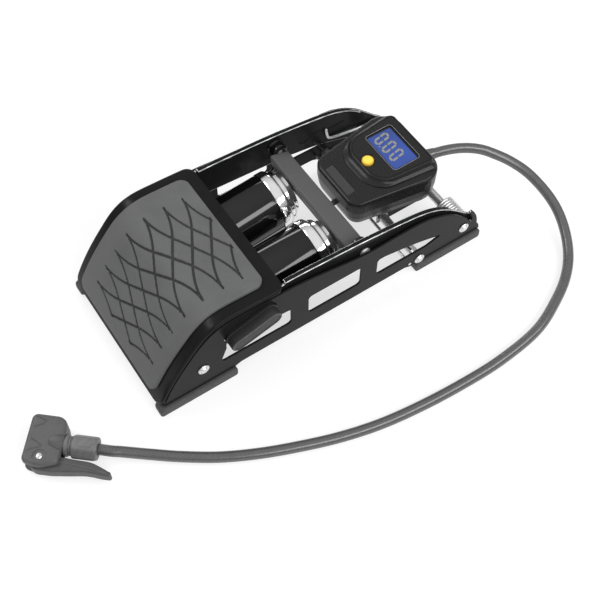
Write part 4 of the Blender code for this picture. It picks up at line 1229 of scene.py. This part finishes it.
def make_button():
    profile = [(0.0, -8.0), (5.4, -8.0), (5.4, -0.4), (5.25, 0.0), (4.9, 0.25), (4.2, 0.4), (3.2, 0.5)]
    profile += [(1.6, 0.55), (0.0, 0.56)]
    mesh = lathe("button", profile, upright_at(BUTTON, BUTTON_TOP), 64)
    piece("gauge_button_soft", mesh, "button_plastic", "button", "gauge_button")
    # The faces out past the rim's radius take painted shade, a deeper yellow on the rounded edge.
    mesh.materials.append(look("button_edge_shade"))
    middle = spot((*BUTTON, 0.0)).to_2d()
    for polygon in mesh.polygons:
        if (polygon.center.to_2d() - middle).length > BUTTON_RIM * MM:
            polygon.material_index = 1


def make_digits():
    """Three noughts and a point, lit on the display and leaning a little."""
    verts, faces = [], []

    def add(outline):
        base = len(verts)
        for z in (DIGIT_LOW, DIGIT_HIGH):
            for x, y in outline:
                verts.append((x, y + DIGIT_LEAN * (x - DIGIT_X), z))
        count = len(outline)
        faces.append(tuple(range(base, base + count)))
        faces.append(tuple(range(base + count, base + 2 * count)))
        for i in range(count):
            j = (i + 1) % count
            faces.append((base + i, base + j, base + count + j, base + count + i))

    for left in DIGIT_LEFTS:
        for x0, y0, x1, y1 in DIGIT_BARS:
            start = Vector((DIGIT_X + x0 * DIGIT_TALL / 2.0, left - y0 * DIGIT_WIDE))
            end = Vector((DIGIT_X + x1 * DIGIT_TALL / 2.0, left - y1 * DIGIT_WIDE))
            along = (end - start).normalized()
            side = Vector((-along.y, along.x)) * DIGIT_BAR / 2.0
            start = start + along * DIGIT_GAP
            end = end - along * DIGIT_GAP
            near = start + along * DIGIT_BAR / 2.0
            far = end + along * -DIGIT_BAR / 2.0
            outline = [start, near + side, far + side, end, far - side, near - side]
            add([tuple(point) for point in outline])
    x0, x1 = DIGIT_X - POINT_HALF, DIGIT_X + POINT_HALF
    y0, y1 = DIGIT_POINT - POINT_HALF, DIGIT_POINT + POINT_HALF
    add([(x0, y0), (x1, y0), (x1, y1), (x0, y1)])
    mesh = mesh_from("lcd_digits", verts, faces)
    piece("lcd_digits", mesh, "display_digit", "base_frame")


# The springs wound on the main axle, with a leg at the base's cross rod and one up by the arm.


def make_springs():
    for side, word in SIDES:
        x0, z0 = MAIN_AXLE
        leg = (CROSS_ROD[0] - 3.0, side * COIL_FROM, CROSS_ROD[1] + AXLE_R + SPRING_WIRE + 0.5)
        points = [leg, (x0 - 24.0, side * COIL_FROM, z0 - 6.5)]
        total = COIL_TURNS * 360.0 + 180.0
        count = round(total / COIL_STEP)
        coil = []
        for angle in (total * k / count for k in range(count + 1)):
            turn = math.radians(angle - 90.0)
            out = COIL_FROM + COIL_PITCH * angle / 360.0
            coil.append((x0 + COIL_R * math.cos(turn), side * out, z0 + COIL_R * math.sin(turn)))
        out = side * (COIL_FROM + COIL_PITCH * total / 360.0)
        leave = [coil[-1], (x0 - 20.0, out, z0 + 12.0), (267.0, side * 66.2, 43.0)]
        leave += [(262.5, side * 66.2, 48.0), (260.5, side * 66.2, 58.0)]
        line = smooth([*points, coil[0]], 2.0)[:-1]
        line += [Vector(point) for point in coil[:-1]]
        line += smooth(leave, 2.0)
        name = f"torsion_spring_{word}"
        thing = add_to_scene(f"{name}_wound", tube(name, line, SPRING_WIRE, 12))
        thing.data.materials.append(look("spring_steel"))
        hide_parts(name)
        inner = spot((x0, side * COIL_FROM, z0))
        outer = spot((x0, side * COIL_TO, z0))
        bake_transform(thing)


# The arm: pressed ribs inside each plate, and the collars beside the crossbar.


def make_arm():
    for side, word in SIDES:
        ribs = [[(232.9, 54.8), (236.9, 51.6), (251.4, 57.1), (267.3, 54.0), (281.0, 54.6)]]
        ribs.append([(247.0, 49.3), (252.2, 40.7), (256.2, 34.2), (260.1, 27.8)])
        for number, rib in enumerate(ribs):
            points = [(x, side * 68.0, z) for x, z in rib]
            mesh = tube("rib", smooth(points, 1.5), 0.9, 10)
            piece(f"arm_rib_{number}_{word}", mesh, "black_paint", "pedal_arm")
        inner, outer = COLLAR_Y
        collar = [(2.9, inner), (6.6, inner), (7.3, inner + 0.5), (7.6, inner + 2.0), (7.2, inner + 4.0)]
        collar += [(7.2, outer - 3.0), (7.8, outer - 1.6), (8.4, outer - 0.6), (8.4, outer), (2.9, outer)]
        bolt = [(0.0, 72.0), (1.6, 71.9), (3.0, 71.6), (4.2, 71.1), (4.9, 70.7), (5.0, 70.3), (2.6, 70.3)]
        bolt += [(2.6, 59.0), (0.0, 59.0)]
        turned = (("collar", collar, "collar_paint", 48), ("bolt", bolt, "bright_steel", 40))
        for part, profile, look_name, steps in turned:
            name = f"crossbar_{part}_{word}"
            mesh = lathe(part, [(r, side * y) for r, y in profile], across_at(CROSSBAR_BOLT), steps)
            piece(f"{name}_turned", mesh, look_name, "pedal_arm", name)


# The hose, its strain relief and its valve head.


def chuck_spot(x, y, z):
    """A place in the pump's frame from one in the valve head's."""
    turn = math.radians(CHUCK_TURN)
    along = CHUCK[0] + x * math.cos(turn) - y * math.sin(turn)
    return (along, CHUCK[1] + x * math.sin(turn) + y * math.cos(turn), z)


def make_gland():
    """A short, smoothly tapered rubber strain relief at the gauge."""
    turn = math.radians(EXIT_TURN)

    def place(a, u, v):
        x = EXIT[0] + a * math.cos(turn) - u * math.sin(turn)
        return (x, EXIT[1] + a * math.sin(turn) + u * math.cos(turn), EXIT[2] + v)

    profile = [(0.0, -5.0), (4.8, -5.0), (4.8, 2.2), (6.9, 2.2), (7.2, 2.5), (7.2, 3.4), (6.6, 4.4)]
    profile += [(6.0, 6.6), (5.6, 9.2), (5.3, 12.0), (5.1, 14.6), (4.95, 15.2), (HOSE_R + 0.05, 15.3)]
    profile += [(HOSE_R + 0.05, 10.3), (0.0, 10.3)]
    mesh = lathe("gland", profile, place, 48)
    return piece("hose_gland_tapered", mesh, "hose_rubber", "base_frame", "hose_gland")


def make_hose(with_pieces):
    turn = math.radians(EXIT_TURN)
    reach = GLAND_LENGTH + 0.6
    start = (EXIT[0] + reach * math.cos(turn), EXIT[1] + reach * math.sin(turn), EXIT[2])
    route = [spot(start), *(Vector(point) for point in HOSE_ROUTE)]
    route.append(spot(chuck_spot(0.0, NUT_END - 12.0, 10.6)))
    route.append(spot(chuck_spot(0.0, NUT_END - 0.3, CHUCK_HEIGHT / 2)))
    line = smooth(route, HOSE_STEP)
    data = bpy.data.curves.new("hose_line", "CURVE")
    data.dimensions = "3D"
    data.bevel_depth = HOSE_R * MM
    data.bevel_resolution = 6
    data.use_fill_caps = True
    spline = data.splines.new("POLY")
    spline.points.add(len(line) - 1)
    for item, point in zip(spline.points, line):
        item.co = (*point, 1.0)
    spline.use_smooth = True
    hose = piece("hose_line", data, "hose_rubber", "base_frame", "hose")
    length = sum((b - a).length for a, b in zip(line, line[1:]))
    assert abs(length - HOSE_LENGTH) < HOSE_SLACK * HOSE_LENGTH, length
    tuple(spot(start))


def lever_spot(x, y, z):
    """A place in the pump's frame from one beside the thumb lever's pin."""
    return chuck_spot(CHUCK_PIN[0] + x, CHUCK_PIN[1] + y, z)


def about_pin(a, u, v):
    return lever_spot(u, v, a)


def along_valve(a, u, v):
    return chuck_spot(a, u, CHUCK_HEIGHT / 2 + v)


def along_hose(a, u, v):
    return chuck_spot(-u, a, CHUCK_HEIGHT / 2 + v)


def along_scoop(a, u, v):
    return chuck_spot(-2.0 + u, a - 9.0, CHUCK_HEIGHT + 4.9 + v)


def make_chuck_body():
    """The valve head's shell: rounded edges, grip grooves, a scoop for the thumb and a lever slot."""
    outline = rounded([(-19.5, -15, 4), (20.4, -15, 9), (20.8, 15, 5), (-21, 15, 5), (-24.5, 0, 16)], 10)
    levels = [(0.0, 2.6), (0.6, 1.5), (1.6, 0.7), (3.2, 0.2), (5.5, 0.0)]
    upper = ((3.0, 0.0), (1.5, 0.4), (0.6, 1.1), (0.12, 2.1))
    levels += [(CHUCK_HEIGHT - z, amount) for z, amount in upper]
    levels.append((CHUCK_HEIGHT, 3.2))
    shell = slab("chuck_shell", outline, levels, chuck_spot)
    body = piece("chuck_shell", shell, "chuck_plastic", "base_frame", "chuck_body")

    def box(name, x, y, z):
        loop = [(x[0], y[0]), (x[1], y[0]), (x[1], y[1]), (x[0], y[1])]
        return loft(name, [[chuck_spot(a, b, height) for a, b in loop] for height in z])

    carve(body, box("slot", (-40.0, -4.5), (-30.0, 30.0), (5.2, 16.6)))
    socket = [(0.0, 7.5), (6.8, 7.5), (6.8, 30.0), (0.0, 30.0)]
    carve(body, lathe("socket", socket, along_valve, 48))
    deep = CHUCK_HEIGHT - 0.6
    hole = [(0.0, -1.0), (2.5, -1.0), (2.5, deep), (5.6, deep), (5.6, 30.0), (0.0, 30.0)]
    carve(body, lathe("recess", hole, about_pin, 48))
    scoop = [(0.0, -30.0), (8.0, -30.0), (8.6, -4.0), (6.6, 4.0), (2.4, 8.5), (0.0, 9.2)]
    carve(body, lathe("scoop", scoop, along_scoop, 48))
    for number, line in enumerate(CHUCK_GROOVES):
        points = smooth([chuck_spot(x, y, CHUCK_HEIGHT + 0.15) for x, y in line], 1.0)
        carve(body, tube("groove", points, 0.75, 10))
    return body


def make_nut():
    """The collar nut, whose six flats are the lower of its round and its hexagonal radius."""
    profile = [(4.9, NUT_END), (6.0, NUT_END), (NUT_R - 1.4, NUT_END + 0.3), (NUT_R - 0.3, NUT_END + 1.6)]
    profile += [(NUT_R, NUT_END + 3.0), (NUT_R, -24.0), (NUT_R - 0.3, -22.2), (NUT_R - 1.6, -21.2)]
    profile += [(7.6, -21.0), (7.6, -18.4), (NUT_R - 2.0, -18.2), (NUT_R - 1.3, -17.4)]
    profile += [(NUT_R - 1.3, -15.4), (4.9, -15.4)]
    loops = []
    for k in range(NUT_SIDES):
        angle = math.radians(360.0 / NUT_SIDES * k)
        from_flat = (angle + math.radians(30.0)) % math.radians(60.0) - math.radians(30.0)
        flat = NUT_FLAT / math.cos(from_flat)
        loop = []
        for radius, a in profile:
            r = min(radius, flat) if radius > NUT_R - 1.2 else radius
            loop.append(along_hose(a, r * math.sin(angle), r * math.cos(angle)))
        loops.append(loop)
    mesh = loft("nut", loops, 28.0, closed=True)
    return piece("chuck_nut_moulded", mesh, "nut_plastic", "base_frame", "chuck_nut")


def make_chuck():
    """The valve head's pieces, returned in a list."""
    body = make_chuck_body()
    nut = make_nut()
    ring = [(7.62, -20.4), (8.0, -20.1), (8.0, -19.2), (7.62, -18.9)]
    mesh = lathe("ring", ring, along_hose, 48)
    band = piece("chuck_ring", mesh, "nut_plastic", "base_frame")
    panel = rounded([(-3.4, -37.5, 0.8), (3.4, -37.5, 0.8), (3.4, -26.5, 0.8), (-3.4, -26.5, 0.8)], 4)
    levels = [(-0.4, 0.0), (0.2, 0.0), (0.35, 0.15)]

    def on_flat(x, y, height):
        return chuck_spot(x, y, CHUCK_HEIGHT / 2 + NUT_FLAT + height)

    raised = slab("panel", panel, levels, on_flat)
    plaque = piece("chuck_nut_panel", raised, "nut_plastic", "base_frame")

    rivet = [(0.0, 0.6), (2.2, 0.6), (2.2, 21.5), (2.9, 21.5), (2.9, 21.9), (2.6, 22.4), (1.9, 22.8)]
    rivet.append((0.0, 23.0))
    mesh = lathe("rivet", rivet, about_pin, 40)
    pin = piece("chuck_rivet", mesh, "bright_steel", "base_frame", "chuck_pin")

    seal = [(3.2, 8.0), (6.5, 8.0), (6.5, 19.3), (6.2, 19.6), (4.0, 19.6), (3.2, 18.6)]
    mesh = lathe("seal", seal, along_valve, 48)
    washer = piece("chuck_seal_moulded", mesh, "seal_rubber", "base_frame", "chuck_seal")
    return [body, nut, band, plaque, pin, washer, *make_lever()]


def make_lever():
    """The thumb lever: a round hub and a tapering arm with soft edges and a raised ridge."""
    inner = smooth([(7.5, -8.5), (4.6, -14), (3.2, -26), (2.4, -40), (-0.9, -50), (-3.4, -55.6)], 2.0)
    outer = smooth([(-7.4, -55.6), (-7.3, -50), (-6.4, -38), (-8, -24), (-9.6, -10)], 2.0)
    hub = arc((0.0, 0.0), 9.6, 180.0, 0.0, 24)
    end = arc((-5.4, -56.0), 2.0, -10.0, -170.0, 8)
    outline = hub + [tuple(point) for point in inner] + end + [tuple(point) for point in outer]
    mesh = slab("lever", outline, soft_edges(5.5, 16.3, 1.5, 5), lever_spot)
    lever = piece("chuck_lever_moulded", mesh, "lever_plastic", "chuck_thumb_lever", "chuck_lever")
    hole = [(0.0, 0.0), (2.5, 0.0), (2.5, 30.0), (0.0, 30.0)]
    carve(lever, lathe("hole", hole, about_pin, 32))
    crest = [(0.5, -9.0), (-0.6, -16.0), (-1.6, -28.0), (-2.6, -40.0), (-4.6, -50.0), (-5.3, -54.5)]
    points = smooth([lever_spot(x, y, 15.9) for x, y in crest], 1.5)
    mesh = tube("ridge", points, 1.0, 12)
    ridge = piece("chuck_lever_ridge", mesh, "chuck_plastic", "chuck_thumb_lever")
    return [lever, ridge]


def main():
    make_camera()
    make_studio()
    paint_nodes()
    make_hose([make_gland(), *make_chuck()])
    make_feet()
    make_rivets()
    make_cylinders()
    curve = PedalCurve()
    make_pedal_sheet(curve)
    make_pedal_pad(curve)
    make_latch()
    make_gauge_cover()
    make_bezel()
    make_button()
    make_digits()
    make_springs()
    make_arm()


main()
